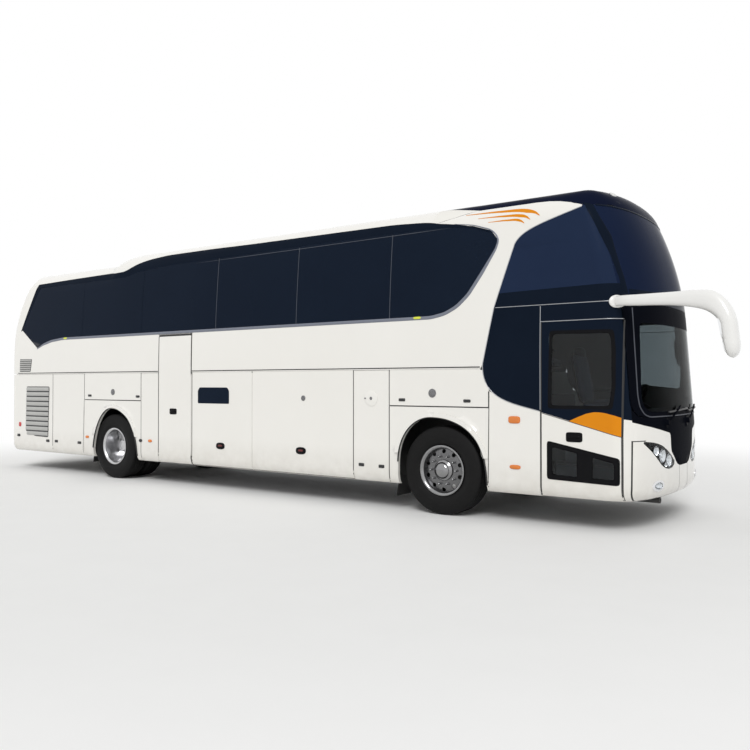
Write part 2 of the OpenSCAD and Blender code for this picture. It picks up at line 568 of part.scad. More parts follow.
module middle_door() color("whitesmoke") {
    side_piece([[door_seam + 1, skirt_z + 8], [post_x - hinge_drop, skirt_z + 8],
        [post_x - hinge_drop, mid_door_top - 2], [door_seam + 1, mid_door_top - 2]], 0, leaf_t);
    translate([post_x, -hinge_y, post_z0 + 20]) linear_extrude(post_z1 - post_z0 - 40) rotate(-90) bead();
}

// Flaps and hatches: rear edge, front edge, lower edge
module flap(x0, x1, z0, bead_x1) color("whitesmoke") {
    along(x0, x1) leaf_section(z0, leaf_top);
    along(x0 + 10, bead_x1) translate([-hinge_y, hinge_z]) mirror([1, 0]) bead();
}
module hatch_front() color("whitesmoke") {
    difference() {
        along(seam_service + shut / 2, seam_front - shut / 2) leaf_section(hatch_z + shut / 2, leaf_top);
        across(-half_w - 60, -wall_reach) polygon(concat(shifted(swoosh, [-7, 0]),
            [[900, 1770], [900, 1243]]));
    }
    along(seam_service + shut / 2 + 10, rail_front - 4) translate([-hinge_y, hinge_z]) mirror([1, 0]) bead();
}
module flap_bay1_right() flap(post_x + 14 + shut, seam_bay1 - shut / 2, skirt_z, seam_bay1 - shut / 2 - 10);
module flap_bay2_right() flap(seam_bay1 + shut / 2, seam_bay2 - shut / 2, skirt_z, seam_bay2 - shut / 2 - 10);
module hatch_front_right() hatch_front();
module hatch_rear_right() flap(seam_arch + shut / 2, seam_narrow - shut / 2, hatch_z + shut / 2,
    seam_narrow - shut / 2 - 10);
module flap_bay1_left() left() flap(door_seam + 1, seam_bay1 - shut / 2, skirt_z, seam_bay1 - shut / 2 - 10);
module flap_bay2_left() left() flap_bay2_right();
module hatch_front_left() left() hatch_front();
module hatch_rear_left() left() hatch_rear_right();

// Mirrors: each section's x from the nose, distance outside the body side, z, width across and depth;
// a long arm on the door side, and a short neck on the driver's side
arm_path = [[-345, -46, 2388, 60, 104], [-260, -8, 2386, 64, 108], [-120, 15, 2380, 68, 114],
    [80, 40, 2374, 76, 122], [280, 55, 2366, 88, 138], [460, 65, 2352, 106, 170], [590, 68, 2322, 136, 194],
    [680, 70, 2248, 176, 176], [738, 70, 2150, 204, 152], [764, 70, 2000, 214, 146],
    [780, 70, 1870, 206, 132], [783, 70, 1780, 124, 62]];
neck_path = [[-402, 10, 2400, 60, 70], [-398, 14, 2360, 66, 76], [-394, 34, 2300, 90, 90],
    [-388, 60, 2240, 130, 106], [-380, 80, 2170, 170, 116], [-372, 87, 2050, 180, 120],
    [-366, 87, 1900, 180, 116], [-362, 87, 1800, 160, 100], [-360, 87, 1760, 90, 50]];
function path_dir(path, i) = let (a = path[max(i - 1, 0)], b = path[min(i + 1, len(path) - 1)])
    atan2(b[2] - a[2], b[0] - a[0]);
module mirror_on(path) {
    loft([for (i = [0:len(path) - 1]) let (m = path[i], a = path_dir(path, i) + 90)
        [for (k = [0:11]) [front_overhang + m[0] + m[4] / 2 * sin(30 * k) * cos(a),
            -half_w - m[1] + m[3] / 2 * cos(30 * k), m[2] + m[4] / 2 * sin(30 * k) * sin(a)]]]);
    side_piece([for (k = [0:11]) [front_overhang + path[0][0] + 66 * cos(30 * k), 2388 + 66 * sin(30 * k)]],
        -34, -fit - 1);
}
module mirrors() color("whitesmoke") {
    mirror_on(arm_path);
    left() mirror_on(neck_path);
}

// Floors, bulkheads and steps
deck_z = 1350;
deck_t = 50;
deck_y = half_w - 48;
bay_y = half_w - 80;
bay_z = 400;
step_z = 420;
cab_z = 840;
beam_z0 = 640;
beam_z1 = 800;
beam_y = 330;
beam_w = 80;
bulk_front_x = -760;
bulk_rear_x = door_seam - 73;
bulk_t = 36;
module box(x0, x1, y0, y1, z0, z1) translate([x0, y0, z0]) cube([x1 - x0, y1 - y0, z1 - z0]);
module floor() color("gray") {
    difference() {
        union() {
            box(rear_x + 370, seam_front - 5, -deck_y, deck_y, deck_z, deck_z + deck_t);
            box(seam_front - 15, 690, -deck_y + 20, deck_y - 20, deck_z, deck_z + deck_t);
        }
        box(door_seam + 17, post_x - 20, -deck_y - 10, -480, deck_z - 10, deck_z + deck_t + 10);
    }
    box(bulk_rear_x + bulk_t + fit, bulk_front_x - fit, -bay_y, bay_y, bay_z, bay_z + 50);
    box(bulk_front_x, bulk_front_x + bulk_t, -bay_y, bay_y, bay_z, deck_z - fit);
    box(bulk_rear_x, bulk_rear_x + bulk_t, -bay_y, bay_y, bay_z, deck_z - fit);
    // Middle stairwell: side wall, inner wall and two steps
    box(post_x - 4, post_x + 14, -hinge_y + 14 + fit, -480, bay_z + 50 + fit, deck_z - fit);
    along(door_seam - 13, post_x - 4 - fit) polygon([[-900, bay_z + 50 + fit], [-900, 750], [-690, 750],
        [-690, 1050],
        [-480, 1050], [-480, deck_z - fit], [-440, deck_z - fit], [-440, bay_z + 50 + fit]]);
    // Entrance steps, driver's floor, riser and the steps up to the aisle
    along(1290, 2090) polygon([[90 - half_w, 380], [90 - half_w, step_z], [-900, step_z], [-900, 640],
        [-640, 640], [-640, cab_z],
        [-380, cab_z], [-380, beam_z1], [-600, beam_z1], [-600, 600], [-860, 600], [-860, 380]]);
    box(700, 2060, -380 + fit, bay_y, beam_z1, cab_z);
    box(690 + fit, 700 - fit, -bay_y, bay_y, beam_z1, deck_z + deck_t);
    across(-380, 380) polygon([[700, cab_z + fit], [1080, cab_z + fit], [1080, 1025], [890, 1025],
        [890, 1210], [700, 1210]]);
    translate([pivot[0], pivot[1], step_z + fit]) difference() {
        cylinder(r = 45, h = 50);
        translate([0, 0, -1]) cylinder(r = arm_post_r + run, h = 60);
    }
}
// Beams and wheel housings
housing_y = 545;
housing_z = 1180;
sheet = 15;
module housing(x0, x1, front_x, front_y) difference() {
    box(x0, x1, -half_w + leaf_t + fit, -housing_y, 345, housing_z + sheet);
    box(x0 + sheet, x1 - sheet, -half_w, -housing_y - sheet, 300, housing_z);
    box(x0 - 1, x1 + 1, -half_w, -housing_y + 1, 300, 345);
    box(x0 + sheet, x1 - sheet, -half_w, -housing_y + 1, 300, beam_z0);
    box(x0 - 1, x1 + 1, -half_w, -half_w + roll_in + wall_t + fit, 300, roll_z + fit);
    box(front_x, x1 + 1, -half_w, -front_y, 300, 2000);
}
// Towing socket under the bumper
tow_y = -480;
tow_z = 282;
tow_r = 20;
tow_l = 150;
tow_x = 2300;
module underframe() color("dimgray") {
    difference() {
        union() {
            translate([2060, tow_y, tow_z]) rotate([0, 90, 0]) cylinder(r = 34, h = tow_x - 2060);
            box(2040, 2100, tow_y - 34, -beam_y - 20, tow_z - 20, beam_z1 - fit - 20);
        }
        translate([tow_x - tow_l, tow_y, tow_z]) rotate([0, 90, 0]) cylinder(r = tow_r, h = tow_l + 1);
    }
    both() {
        box(bulk_front_x + bulk_t + fit, 2120, -beam_y - beam_w, -beam_y, beam_z0, beam_z1 - fit);
        box(rear_x + 250, bulk_rear_x - fit, -beam_y - beam_w, -beam_y, beam_z0, beam_z1 - fit);
        housing(bulk_front_x + bulk_t + fit, 690, seam_front - 5, half_w - wall_t - fit);
        housing(rear_axle_x - 680, rear_axle_x + 680, rear_axle_x + 660, half_w - leaf_t - fit);
        for (x = [-500, 420, rear_axle_x - 500, rear_axle_x + 400])
            box(x, x + 80, -housing_y - 5, -beam_y - 10, 700, 760);
    }
    for (x = [-700, 1050, 2030, bulk_rear_x - 80, rear_axle_x - 1100, rear_x + 260])
        box(x, x + 80, -beam_y - 5, beam_y + 5, 660, 740);
}
module engine() color("slategray") {
    box(rear_x + 500, rear_x + 1900, -300, 300, 560, 1300);
    for (x = [rear_x + 700, rear_x + 1600], s = [1, -1]) translate([x, s > 0 ? 290 : -beam_y + fit, 662])
        cube([120, beam_y - fit - 290, 70]);
}
module dashboard() color("dimgray") {
    across(-600, half_w - 150) polygon([[1800, 1160], [1830, 1215], [2000, 1250], [2140, 1225], [2140, 1000],
        [2050, cab_z + fit], [1950, cab_z + fit], [1900, 1040]]);
    wheel_c = [1700, 620, 1330];
    translate(wheel_c) rotate([0, -58, 0]) {
        rotate_extrude() translate([230, 0]) circle(r = 17, $fn = 20);
        for (a = [30, 150, 270]) rotate(a) rotate([0, 90, 0]) cylinder(r = 12, h = 230);
        cylinder(r = 60, h = 30, center = true);
        rotate([180, 0, 0]) cylinder(r = 35, h = 260);
    }
}
seat_pitch = 760;
seat_first = 120;
seat_rows = floor((seat_first - rear_x - 1090) / seat_pitch) + 1;
seat_y = half_w - 90;
module seat(x, y0, y1, z) translate([x, 0, z]) across(y0, y1)
    polygon([[-40, 380], [-170, 1080], [-160, 1180], [-80, 1190],
    [-40, 1080], [60, 470], [430, 490], [460, 440], [430, 380], [260, 360], [260, 0], [160, 0], [160, 360]]);
module seats() color("steelblue") {
    for (i = [0:seat_rows - 1]) let (x = seat_first - seat_pitch * i) {
        seat(x, 280, seat_y, deck_z + deck_t + fit);
        if (x < door_seam - 253 || x > post_x + 150) seat(x, -seat_y, -280, deck_z + deck_t + fit);
    }
    seat(1080, 360, 880, cab_z + fit);
}

// Running gear
hub_z = tyre_d / 2;
wheel_y = half_w - wheel_in;
kingpin_y = wheel_y - kingpin_offset;
steer_arm = [-250, -kingpin_y];
tie_z = 330;
module front_axle() color("dimgray") {
    difference() {
        union() {
            box(-50, 50, 83 - kingpin_y, kingpin_y - 83, 410, 490);
            both() box(-45, 45, -kingpin_y, 95 - kingpin_y, 445, 560);
            both() translate([0, -kingpin_y, 445]) cylinder(r = 58, h = 155);
        }
        both() translate([0, -kingpin_y, 300]) cylinder(r = kingpin_r + run, h = 400);
    }
    both() translate([0, -beam_y - beam_w / 2, 490 + fit]) cylinder(r = 115, h = beam_z0 - 490 - 2 * fit);
}
module rear_axle() color("dimgray") translate([-wheelbase, 0, 0]) {
    translate([0, 0, hub_z]) {
        rotate([90, 0, 0]) cylinder(r = 75, h = 2 * (wheel_y - 337.5), center = true);
        rotate([90, 0, 0]) cylinder(r = spindle_r, h = 2 * (wheel_y - 77.5), center = true);
        sphere(r = 200);
    }
    both() {
        box(-620, 620, -beam_y - beam_w - 10, -beam_y + 10, 405, 455);
        for (x = [-500, 500]) translate([x, -beam_y - beam_w / 2, 455 + fit])
            cylinder(r = 100, h = beam_z0 - 455 - 2 * fit);
    }
}
module knuckle() color("gray") {
    translate([0, -kingpin_y, 0]) {
        translate([0, 0, 390]) cylinder(r = kingpin_r, h = 240);
        // Lower and upper ears: height of the foot and thickness
        for (ear = [[372, 63], [605, 35]]) translate([0, 0, ear[0]]) {
            cylinder(r = 58, h = ear[1]);
            translate([-50, -86, 0]) cube([100, 86, ear[1]]);
        }
        translate([-54, -92, 366]) cube([108, 30, 278]);
        translate([0, -80, hub_z]) rotate([90, 0, 0]) cylinder(r = spindle_r, h = kingpin_offset - 20);
    }
    hull_bar([-20, -kingpin_y], steer_arm, 370, 398);
    translate([steer_arm[0], steer_arm[1], tie_z - 22]) cylinder(r = 12, h = 390 - tie_z + 22);
}
// Flat bar with round ends between two points in plan
module hull_bar(a, b, z0, z1) {
    for (p = [a, b]) translate([p[0], p[1], z0]) cylinder(r = 28, h = z1 - z0);
    translate([a[0], a[1], z0]) rotate(atan2(b[1] - a[1], b[0] - a[0]))
        translate([0, -23, 0]) cube([norm(b - a), 46, z1 - z0]);
}
module knuckle_right() knuckle();
module knuckle_left() left() knuckle();
module tie_rod() color("silver") difference() {
    union() {
        rod([steer_arm[0], steer_arm[1], tie_z], [steer_arm[0], -steer_arm[1], tie_z], 17);
        for (s = [1, -1]) translate([steer_arm[0], s * steer_arm[1], tie_z - 18]) cylinder(r = 27, h = 36);
    }
    for (s = [1, -1]) translate([steer_arm[0], s * steer_arm[1], 300]) cylinder(r = 12 + run, h = 200);
}

// Wheels: drawn round Z with the outer side up, then turned to the right side
module on_hub(x, y) translate([x, -y, hub_z]) rotate([90, 0, 0]) children();
rim_r = rim_d / 2;
module barrel(z) translate([0, 0, z]) rotate_extrude($fn = 72)
    polygon([[rim_r - 20, -120], [rim_r + 12, -134], [rim_r + 12, -124], [rim_r - fit, -118],
        [rim_r - fit, 118], [rim_r + 12, 124], [rim_r + 12, 134], [rim_r - 20, 120]]);
module disc(z, dish) difference() {
    rotate_extrude($fn = 72) polygon([[60, z], [205, z], [rim_r - 10, z - dish],
        [rim_r - 10, z - dish - 14], [205, z - 14], [60, z - 14]]);
    for (i = [0:nut_count - 1]) rotate(360 / nut_count * (i + 0.5)) translate([225, 0, z - 100])
        cylinder(r = 26, h = 200, $fn = 24);
}
module nuts(z, h) for (i = [0:nut_count - 1]) rotate(360 / nut_count * i) translate([nut_pcd / 2, 0, z])
    cylinder(r = 16, h = h, $fn = 6);
module front_wheel() color("silver") difference() {
    union() {
        barrel(0);
        disc(85, 12);
        nuts(80, 38);
        translate([0, 0, -36]) cylinder(r = 110, h = 125);
        translate([0, 0, 85]) cylinder(r1 = 92, r2 = 70, h = 50);
    }
    translate([0, 0, -200]) cylinder(r = spindle_r + run, h = 265);
}
module rear_wheel() color("silver") difference() {
    union() {
        barrel(0);
        barrel(-twin_gap);
        disc(-twin_gap / 2 + 16, 0);
        disc(-twin_gap / 2, 0);
        nuts(-twin_gap / 2 + 10, 40);
        translate([0, 0, -twin_gap / 2 - 60]) cylinder(r = 112, h = 180);
        translate([0, 0, -twin_gap / 2 + 115]) cylinder(r1 = 100, r2 = 84, h = 30);
        for (s = [0, 1]) translate([0, 0, s ? -twin_gap : 0]) rotate_extrude($fn = 72)
            polygon(s ? [[rim_r - 21, 60], [rim_r - 8, 60], [rim_r - 8, twin_gap / 2],
                [rim_r - 21, twin_gap / 2]]
                : [[rim_r - 21, -twin_gap / 2], [rim_r - 8, -twin_gap / 2], [rim_r - 8, -60],
                    [rim_r - 21, -60]]);
    }
    translate([0, 0, -500]) cylinder(r = spindle_r + run, h = 500 - 75);
}
tyre_half = [[rim_r + 12.5, 118], [rim_r + 40, 136], [rim_r + 110, 147.5], [rim_r + 170, 144],
    [tyre_d / 2 - 26, 132], [tyre_d / 2 - 6, 122], [tyre_d / 2 - 2, 78], [tyre_d / 2 - 14, 76],
    [tyre_d / 2 - 14, 68],
    [tyre_d / 2 - 1, 66], [tyre_d / 2, 28], [tyre_d / 2 - 13, 26], [tyre_d / 2 - 13, 16], [tyre_d / 2, 14]];
module tyre(z) translate([0, 0, z]) rotate_extrude($fn = 96) polygon(concat(
    [for (p = tyre_half) p], backwards([for (p = tyre_half) [p[0], -p[1]]]),
        [[rim_r + 0.4, -117], [rim_r + 0.4, 117]]));
module wheel_front_right() on_hub(0, wheel_y) front_wheel();
module wheel_front_left() left() wheel_front_right();
module wheel_rear_right() on_hub(-wheelbase, wheel_y) rear_wheel();
module wheel_rear_left() left() wheel_rear_right();
module tyre_front_right() color("black") on_hub(0, wheel_y) tyre(0);
module tyre_front_left() left() tyre_front_right();
module tyre_rear_right() color("black") on_hub(-wheelbase, wheel_y) {
    tyre(0);
    tyre(-twin_gap);
}
module tyre_rear_left() left() tyre_rear_right();

translate([front_axle_x, 0, 0]) {
    side_wall_right();
    side_wall_left();
    windows_right();
    windows_left();
    skirt_right();
    skirt_left();
    front_frame_right();
    front_frame_left();
    cab_glass();
    windscreen_lower();
    windscreen_upper();
    front_mask();
    front_bumper();
    headlamps();
    roof();
    roof_cap();
    rear_panel();
    rear_window();
    tail_lamps();
    engine_lid();
    front_door();
    front_door_glass();
    door_arm();
    middle_door();
    flap_bay1_right();
    flap_bay2_right();
    hatch_front_right();
    hatch_rear_right();
    flap_bay1_left();
    flap_bay2_left();
    hatch_front_left();
    hatch_rear_left();
    mirrors();
    floor();
    underframe();
    engine();
    dashboard();
    seats();
    front_axle();
    rear_axle();
    knuckle_right();
    knuckle_left();
    tie_rod();
    wheel_front_right();
    wheel_front_left();
    wheel_rear_right();
    wheel_rear_left();
    tyre_front_right();
    tyre_front_left();
    tyre_rear_right();
    tyre_rear_left();
}
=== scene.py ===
# %% [markdown]
# A twelve-metre touring coach, dressed on its measured frame. The frame gives every panel, pane and wheel
# in metres, with X forward, Y to the left and Z up. Everything below is added in that same frame, so
# nothing is fitted by eye: a lock sits on the flap's own formula, and a tyre turns round its own hub.

# %% Load the frame and keep its box
import json
import math

import bmesh
import bpy
import numpy as np
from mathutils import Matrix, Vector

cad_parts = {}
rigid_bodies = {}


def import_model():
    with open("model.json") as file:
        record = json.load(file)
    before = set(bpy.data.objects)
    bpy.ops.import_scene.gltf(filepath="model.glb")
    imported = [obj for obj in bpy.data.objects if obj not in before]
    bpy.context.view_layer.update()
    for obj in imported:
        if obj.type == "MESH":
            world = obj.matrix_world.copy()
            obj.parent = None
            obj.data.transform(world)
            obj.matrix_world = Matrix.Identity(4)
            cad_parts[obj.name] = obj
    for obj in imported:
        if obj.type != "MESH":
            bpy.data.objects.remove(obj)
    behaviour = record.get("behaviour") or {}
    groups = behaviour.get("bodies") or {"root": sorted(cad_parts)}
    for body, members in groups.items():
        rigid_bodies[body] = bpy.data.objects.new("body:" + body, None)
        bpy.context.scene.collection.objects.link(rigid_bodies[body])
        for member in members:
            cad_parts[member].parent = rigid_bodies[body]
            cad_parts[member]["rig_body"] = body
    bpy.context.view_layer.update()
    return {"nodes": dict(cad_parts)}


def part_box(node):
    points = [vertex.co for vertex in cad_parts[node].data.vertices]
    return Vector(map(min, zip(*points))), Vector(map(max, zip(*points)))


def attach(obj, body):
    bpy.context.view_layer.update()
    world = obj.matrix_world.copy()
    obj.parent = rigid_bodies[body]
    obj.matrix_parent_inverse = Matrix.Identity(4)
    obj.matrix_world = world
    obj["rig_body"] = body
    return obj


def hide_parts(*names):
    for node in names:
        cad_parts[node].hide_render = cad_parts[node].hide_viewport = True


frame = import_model()
scene = bpy.context.scene

# %% [markdown]
# The camera comes first. It stands low, level with the lower windows, a little in front of the coach and to
# its right, and looks back along the side. A lens of normal length keeps the long body from stretching.

# %% Camera at the viewing angle of the picture
eye = bpy.data.cameras.new("side_view")
eye.lens, eye.sensor_width = 37.7, 36.0
camera = bpy.data.objects.new("side_view", eye)
camera.location = (7.8104, -9.1927, 1.5443)
camera.rotation_euler = (math.radians(90.62), 0.0, math.radians(35.59))
scene.collection.objects.link(camera)
scene.camera = camera
scene.view_settings.view_transform = "Standard"
print("camera at", tuple(round(c, 2) for c in camera.location))

# %% [markdown]
# All outer panels of a coach are cut from one flowing surface. Here it is written as formulas in metres,
# with x measured from the front axle. The half width shrinks with height, the ends are rounded in plan by a
# superellipse, and the roof rises from a rim with the radius of the roof edge.

# %% The body surface as formulas
AXLE = 3.070
WHEELBASE = 6.2
HALF_WIDTH = 1.270
NOSE_DEPTH, NOSE_POWER = 0.400, 2.3
TAIL_DEPTH, TAIL_POWER = 0.330, 2.6
ROOF_R, RIM_LOW, CROWN = 0.280, 0.090, 0.045


def roll(z):
    """Tuck of the skirt: a quarter ellipse 70 mm deep below a height of 460 mm."""
    h = np.clip((0.460 - z) / 0.140, 0, 1)
    return 0.070 * (1 - np.sqrt(1 - h * h))


def eaves(x):
    """Height where the roof starts to curve in: 3.22 m, rising on a quarter ellipse to 3.35 m."""
    t = 1 - np.clip((x + 6.330) / 0.650, 0, 1)
    return 3.220 + 0.130 * np.sqrt(1 - t * t)


def side_w(x, z):
    """Half width: 1.27 m less the tuck, the lean of a 16.4 m arc above the belt, and the roof edge."""
    h = np.clip(z - eaves(x), 0, ROOF_R)
    edge = ROOF_R - np.sqrt(ROOF_R ** 2 - h * h)
    return HALF_WIDTH - roll(z) - np.maximum(0, z - 1.710) ** 2 / 32.8 - edge


def nose(z):
    """Foremost x at a height: tucked below, leaning back above one metre, and arched above 2.3 m."""
    return 2.420 - 1.4 * roll(z) - 0.0757 * np.maximum(0, z - 1.0) - np.maximum(0, z - 2.3) ** 2 / 6.344


def tail(z):
    """Rearmost x at a height: tucked below, and arched forward above 2.2 m."""
    return -9.400 + roll(z) + np.maximum(0, z - 2.2) ** 2 / 2.98


def swell(u, n):
    """Superellipse quarter: (1 - u^n)^(1/n)."""
    return (1 - np.clip(u, 0, 1) ** n) ** (1 / n)


def side_y(x, z):
    """Half width at x, closing over the nose and the tail along a superellipse."""
    ahead = (x - nose(z) + NOSE_DEPTH) / NOSE_DEPTH
    behind = (tail(z) + TAIL_DEPTH - x) / TAIL_DEPTH
    return side_w(x, z) * swell(ahead, NOSE_POWER) * swell(behind, TAIL_POWER)


def front_x(y, z):
    """Front surface: the nose less what the superellipse takes off towards the corners."""
    return nose(z) - NOSE_DEPTH * (1 - swell(np.abs(y) / side_w(0.0, z), NOSE_POWER))


def back_x(y, z):
    """Rear surface, the same way."""
    return tail(z) + TAIL_DEPTH * (1 - swell(np.abs(y) / side_w(-8.0, z), TAIL_POWER))


def rim_h(x):
    """Height of the roof's rim above the eaves: 90 mm, and up to 200 mm along the dark roof cap."""
    fall = 1 - np.clip((x - 1.150) / 0.550, 0, 1) ** 2
    return RIM_LOW + 0.110 * np.minimum(np.clip((x + 0.150) / 0.550, 0, 1), fall)


def rise(d, h):
    """Share of the roof's rise at a distance d inside its edge, on an arc of the roof radius."""
    s = np.sqrt(ROOF_R ** 2 - h * h)
    inside = np.clip(s - np.maximum(d, 0), 0, None)
    return np.where(d >= s, 1, (np.sqrt(np.maximum(ROOF_R ** 2 - inside ** 2, 0)) - h) / (ROOF_R - h))


def roof_z(x, y):
    """Roof: rim height plus a crowned rise that is rounded at the sides, the front and the back."""
    h = rim_h(x)
    z = eaves(x) + h
    top = ROOF_R - h + CROWN * (1 - (y / HALF_WIDTH) ** 2)
    sides = rise(side_w(x, z) - np.abs(y), h)
    front = rise(front_x(y, z) - x, RIM_LOW)
    back = rise(x - back_x(y, z), RIM_LOW)
    return z + top * sides * front * back


def right_side(a, b, lift=0.0):
    """Point on the right side over (x, z), lifted off it."""
    return np.stack(np.broadcast_arrays(a + AXLE, -(side_y(a, b) + lift), b), -1)


def left_side(a, b, lift=0.0):
    """The same point on the left side."""
    return right_side(a, b, lift) * (1, -1, 1)


def door_line(x):
    """Height of the slanting line that parts navy from white on the front door."""
    return 1.24 - 0.2697 * (x - 1.25)


def front_end(a, b, lift=0.0):
    """Point on the front over (y, z), lifted off it."""
    return np.stack(np.broadcast_arrays(front_x(a, b) + AXLE + lift, a, b), -1)


def rear_end(a, b, lift=0.0):
    """Point on the back over (y, z), lifted off it."""
    return np.stack(np.broadcast_arrays(back_x(a, b) + AXLE - lift, a, b), -1)


def roof_top(a, b, lift=0.0):
    """Point on the roof over (x, y), lifted off it."""
    return np.stack(np.broadcast_arrays(a + AXLE, b, roof_z(a, b) + lift), -1)


print("width at the belt:", 2 * float(side_w(0.0, 1.71)), "nose at the floor:", float(nose(0.5)) + AXLE)

# %% [markdown]
# Coach paint is sprayed in several coats under a clear lacquer. It looks plain from afar, but it has a
# faint orange peel, uneven gloss and road dust low down. A small helper builds such a finish from noise on
# Object coordinates: one noise shifts the colour, one the gloss, and one bumps the surface.

# %% Finishes: the helper
def add_node(tree, kind, **values):
    """A shader node with attributes or input values set by name."""
    n = tree.nodes.new("ShaderNode" + kind)
    for key, value in values.items():
        if hasattr(n, key):
            setattr(n, key, value)
        else:
            n.inputs[key.replace("_", " ")].default_value = value
    return n


def join(tree, a, out, b, into):
    """Links one node's output to another's input."""
    tree.links.new(a.outputs[out], b.inputs[into])


def finish(name, dark, light, rough, spread=0.06, scale=3.0, grain=0.0, grain_scale=300.0, **shader):
    """A finish whose colour wanders between two tones, whose gloss wanders round a value, and whose
    surface is bumped by a fine noise."""
    made = bpy.data.materials.new(name)
    made.use_nodes = True
    tree = made.node_tree
    skin = tree.nodes["Principled BSDF"]
    for key, value in shader.items():
        skin.inputs[key.replace("_", " ")].default_value = value
    place = add_node(tree, "TexCoord")
    wander = add_node(tree, "TexNoise", Scale=scale, Detail=4.0, Roughness=0.6)
    tones = add_node(tree, "Mix", data_type="RGBA")
    tones.inputs[6].default_value = (*dark, 1)
    tones.inputs[7].default_value = (*light, 1)
    gloss = add_node(tree, "MapRange", To_Min=max(rough - spread, 0.02), To_Max=rough + spread)
    join(tree, place, "Object", wander, "Vector")
    join(tree, wander, "Fac", tones, 0)
    tree.links.new(tones.outputs[2], skin.inputs["Base Color"])
    join(tree, wander, "Fac", gloss, "Value")
    join(tree, gloss, "Result", skin, "Roughness")
    if grain:
        fine = add_node(tree, "TexNoise", Scale=grain_scale, Detail=3.0)
        bump = add_node(tree, "Bump", Strength=grain, Distance=0.001)
        join(tree, place, "Object", fine, "Vector")
        join(tree, fine, "Fac", bump, "Height")
        join(tree, bump, "Normal", skin, "Normal")
    return made


def parts_of(made):
    """The tree, the shader and the coordinates of a finish made above."""
    tree = made.node_tree
    place = next(n for n in tree.nodes if n.bl_idname == "ShaderNodeTexCoord")
    return tree, tree.nodes["Principled BSDF"], place


def overlay(made, mask, colour):
    """Lays one more colour over a finish where the mask's output is 1."""
    tree, skin, place = parts_of(made)
    before = skin.inputs["Base Color"].links[0].from_socket
    top = add_node(tree, "Mix", data_type="RGBA")
    top.inputs[7].default_value = (*colour, 1)
    tree.links.new(mask, top.inputs[0])
    tree.links.new(before, top.inputs[6])
    tree.links.new(top.outputs[2], skin.inputs["Base Color"])


def above_plane(made, direction, level, soft=0.0005):
    """Mask that is 1 where a point's distance along a direction passes a level, with a soft step."""
    tree, skin, place = parts_of(made)
    along = add_node(tree, "VectorMath", operation="DOT_PRODUCT")
    along.inputs[1].default_value = direction
    step = add_node(tree, "MapRange", From_Min=level - soft, From_Max=level + soft)
    join(tree, place, "Object", along, 0)
    join(tree, along, "Value", step, "Value")
    return step.outputs["Result"]


print("finish helper ready")

# %% Finishes: paint, glass and lamps
LACQUER = dict(Coat_Weight=0.8, Coat_Roughness=0.04)
SOFT_COAT = dict(Coat_Weight=0.05, Coat_Roughness=0.05, IOR=1.12)
WHITE_TONES = (0.78, 0.765, 0.72), (0.83, 0.815, 0.775)
DUST_FOOT, DUST_TOP, DUST = 0.30, 0.75, (0.46, 0.42, 0.36)


def dusty(made):
    """Adds road dust that fades out up the sides, broken by noise."""
    tree, skin, place = parts_of(made)
    split = add_node(tree, "SeparateXYZ")
    low = add_node(tree, "MapRange", From_Min=DUST_FOOT, From_Max=DUST_TOP, To_Min=0.55, To_Max=0.0)
    cloud = add_node(tree, "TexNoise", Scale=9.0, Detail=6.0)
    amount = add_node(tree, "Math", operation="MULTIPLY")
    join(tree, place, "Object", split, "Vector")
    join(tree, split, "Z", low, "Value")
    join(tree, place, "Object", cloud, "Vector")
    join(tree, low, "Result", amount, 0)
    join(tree, cloud, "Fac", amount, 1)
    overlay(made, amount.outputs[0], DUST)
    return made


white_paint = dusty(finish("warm_white_lacquer", *WHITE_TONES, 0.22, 0.05, 0.8, 0.05, 420, **LACQUER))
black_paint = finish("navy_black_lacquer", (0.0050, 0.0085, 0.0165), (0.0080, 0.0130, 0.0240), 0.16, 0.04,
                     1.2, 0.04, 420, IOR=1.06)
mask_black = finish("deep_black_mask", (0.0030, 0.0036, 0.0060), (0.0048, 0.0056, 0.0090), 0.26, 0.05, 1.2,
                    0.04, 420, IOR=1.02)


def two_tone(name, direction, level, dark, **coat):
    """White lacquer below a plane and navy above it, parted by a crisp line."""
    made = dusty(finish(name, *WHITE_TONES, 0.20, 0.05, 0.8, 0.05, 420, **coat))
    overlay(made, above_plane(made, direction, level), dark)
    return made


door_paint = two_tone("two_tone_door_lacquer", (0.2697, 0, 1), 2.405, (0.0062, 0.0105, 0.0205), IOR=1.07)
cap_paint = two_tone("two_tone_roof_lacquer", (0.187, 0, 1), 4.206, (0.006, 0.0090, 0.0240), IOR=1.04)
orange_paint = finish("orange_stripe_lacquer", (0.66, 0.215, 0.008), (0.74, 0.27, 0.012), 0.30, 0.05, 4.0,
                      0.04, 420, **SOFT_COAT)
tint_glass = finish("smoked_window_glass", (0.0075, 0.0135, 0.0280), (0.0125, 0.0215, 0.0410), 0.05, 0.02,
                    0.5, IOR=1.10, Transmission_Weight=0.30)
# The upper windscreen and the front quarter panes get the smoked tint made bluer and lighter: the tint is
# real, the extra blue and lightness is painted sky reflection.
front_glass_painted_sky = finish("front_glass_painted_sky_reflection", (0.0095, 0.0165, 0.0420), (0.0145, 0.0240, 0.0600), 0.10,
                     0.03, 0.5, IOR=1.035, Transmission_Weight=0.20)
upper_glass_painted_sky = finish("upper_glass_painted_sky_reflection", (0.016, 0.027, 0.060), (0.024, 0.039, 0.084), 0.10, 0.03, 0.5,
                     IOR=1.035, Transmission_Weight=0.20)
screen_glass = finish("smoked_screen_glass", (0.14, 0.165, 0.17), (0.18, 0.205, 0.21), 0.03, 0.01, 0.5,
                      IOR=1.04, Transmission_Weight=1.0)
door_glass = finish("light_smoke_door_glass", (0.44, 0.49, 0.52), (0.50, 0.55, 0.58), 0.04, 0.02, 0.5,
                    IOR=1.30, Transmission_Weight=1.0)
lamp_glass = finish("clear_lamp_cover", (0.90, 0.92, 0.93), (0.94, 0.95, 0.96), 0.04, 0.02, 5.0, IOR=1.12,
                    Transmission_Weight=1.0)
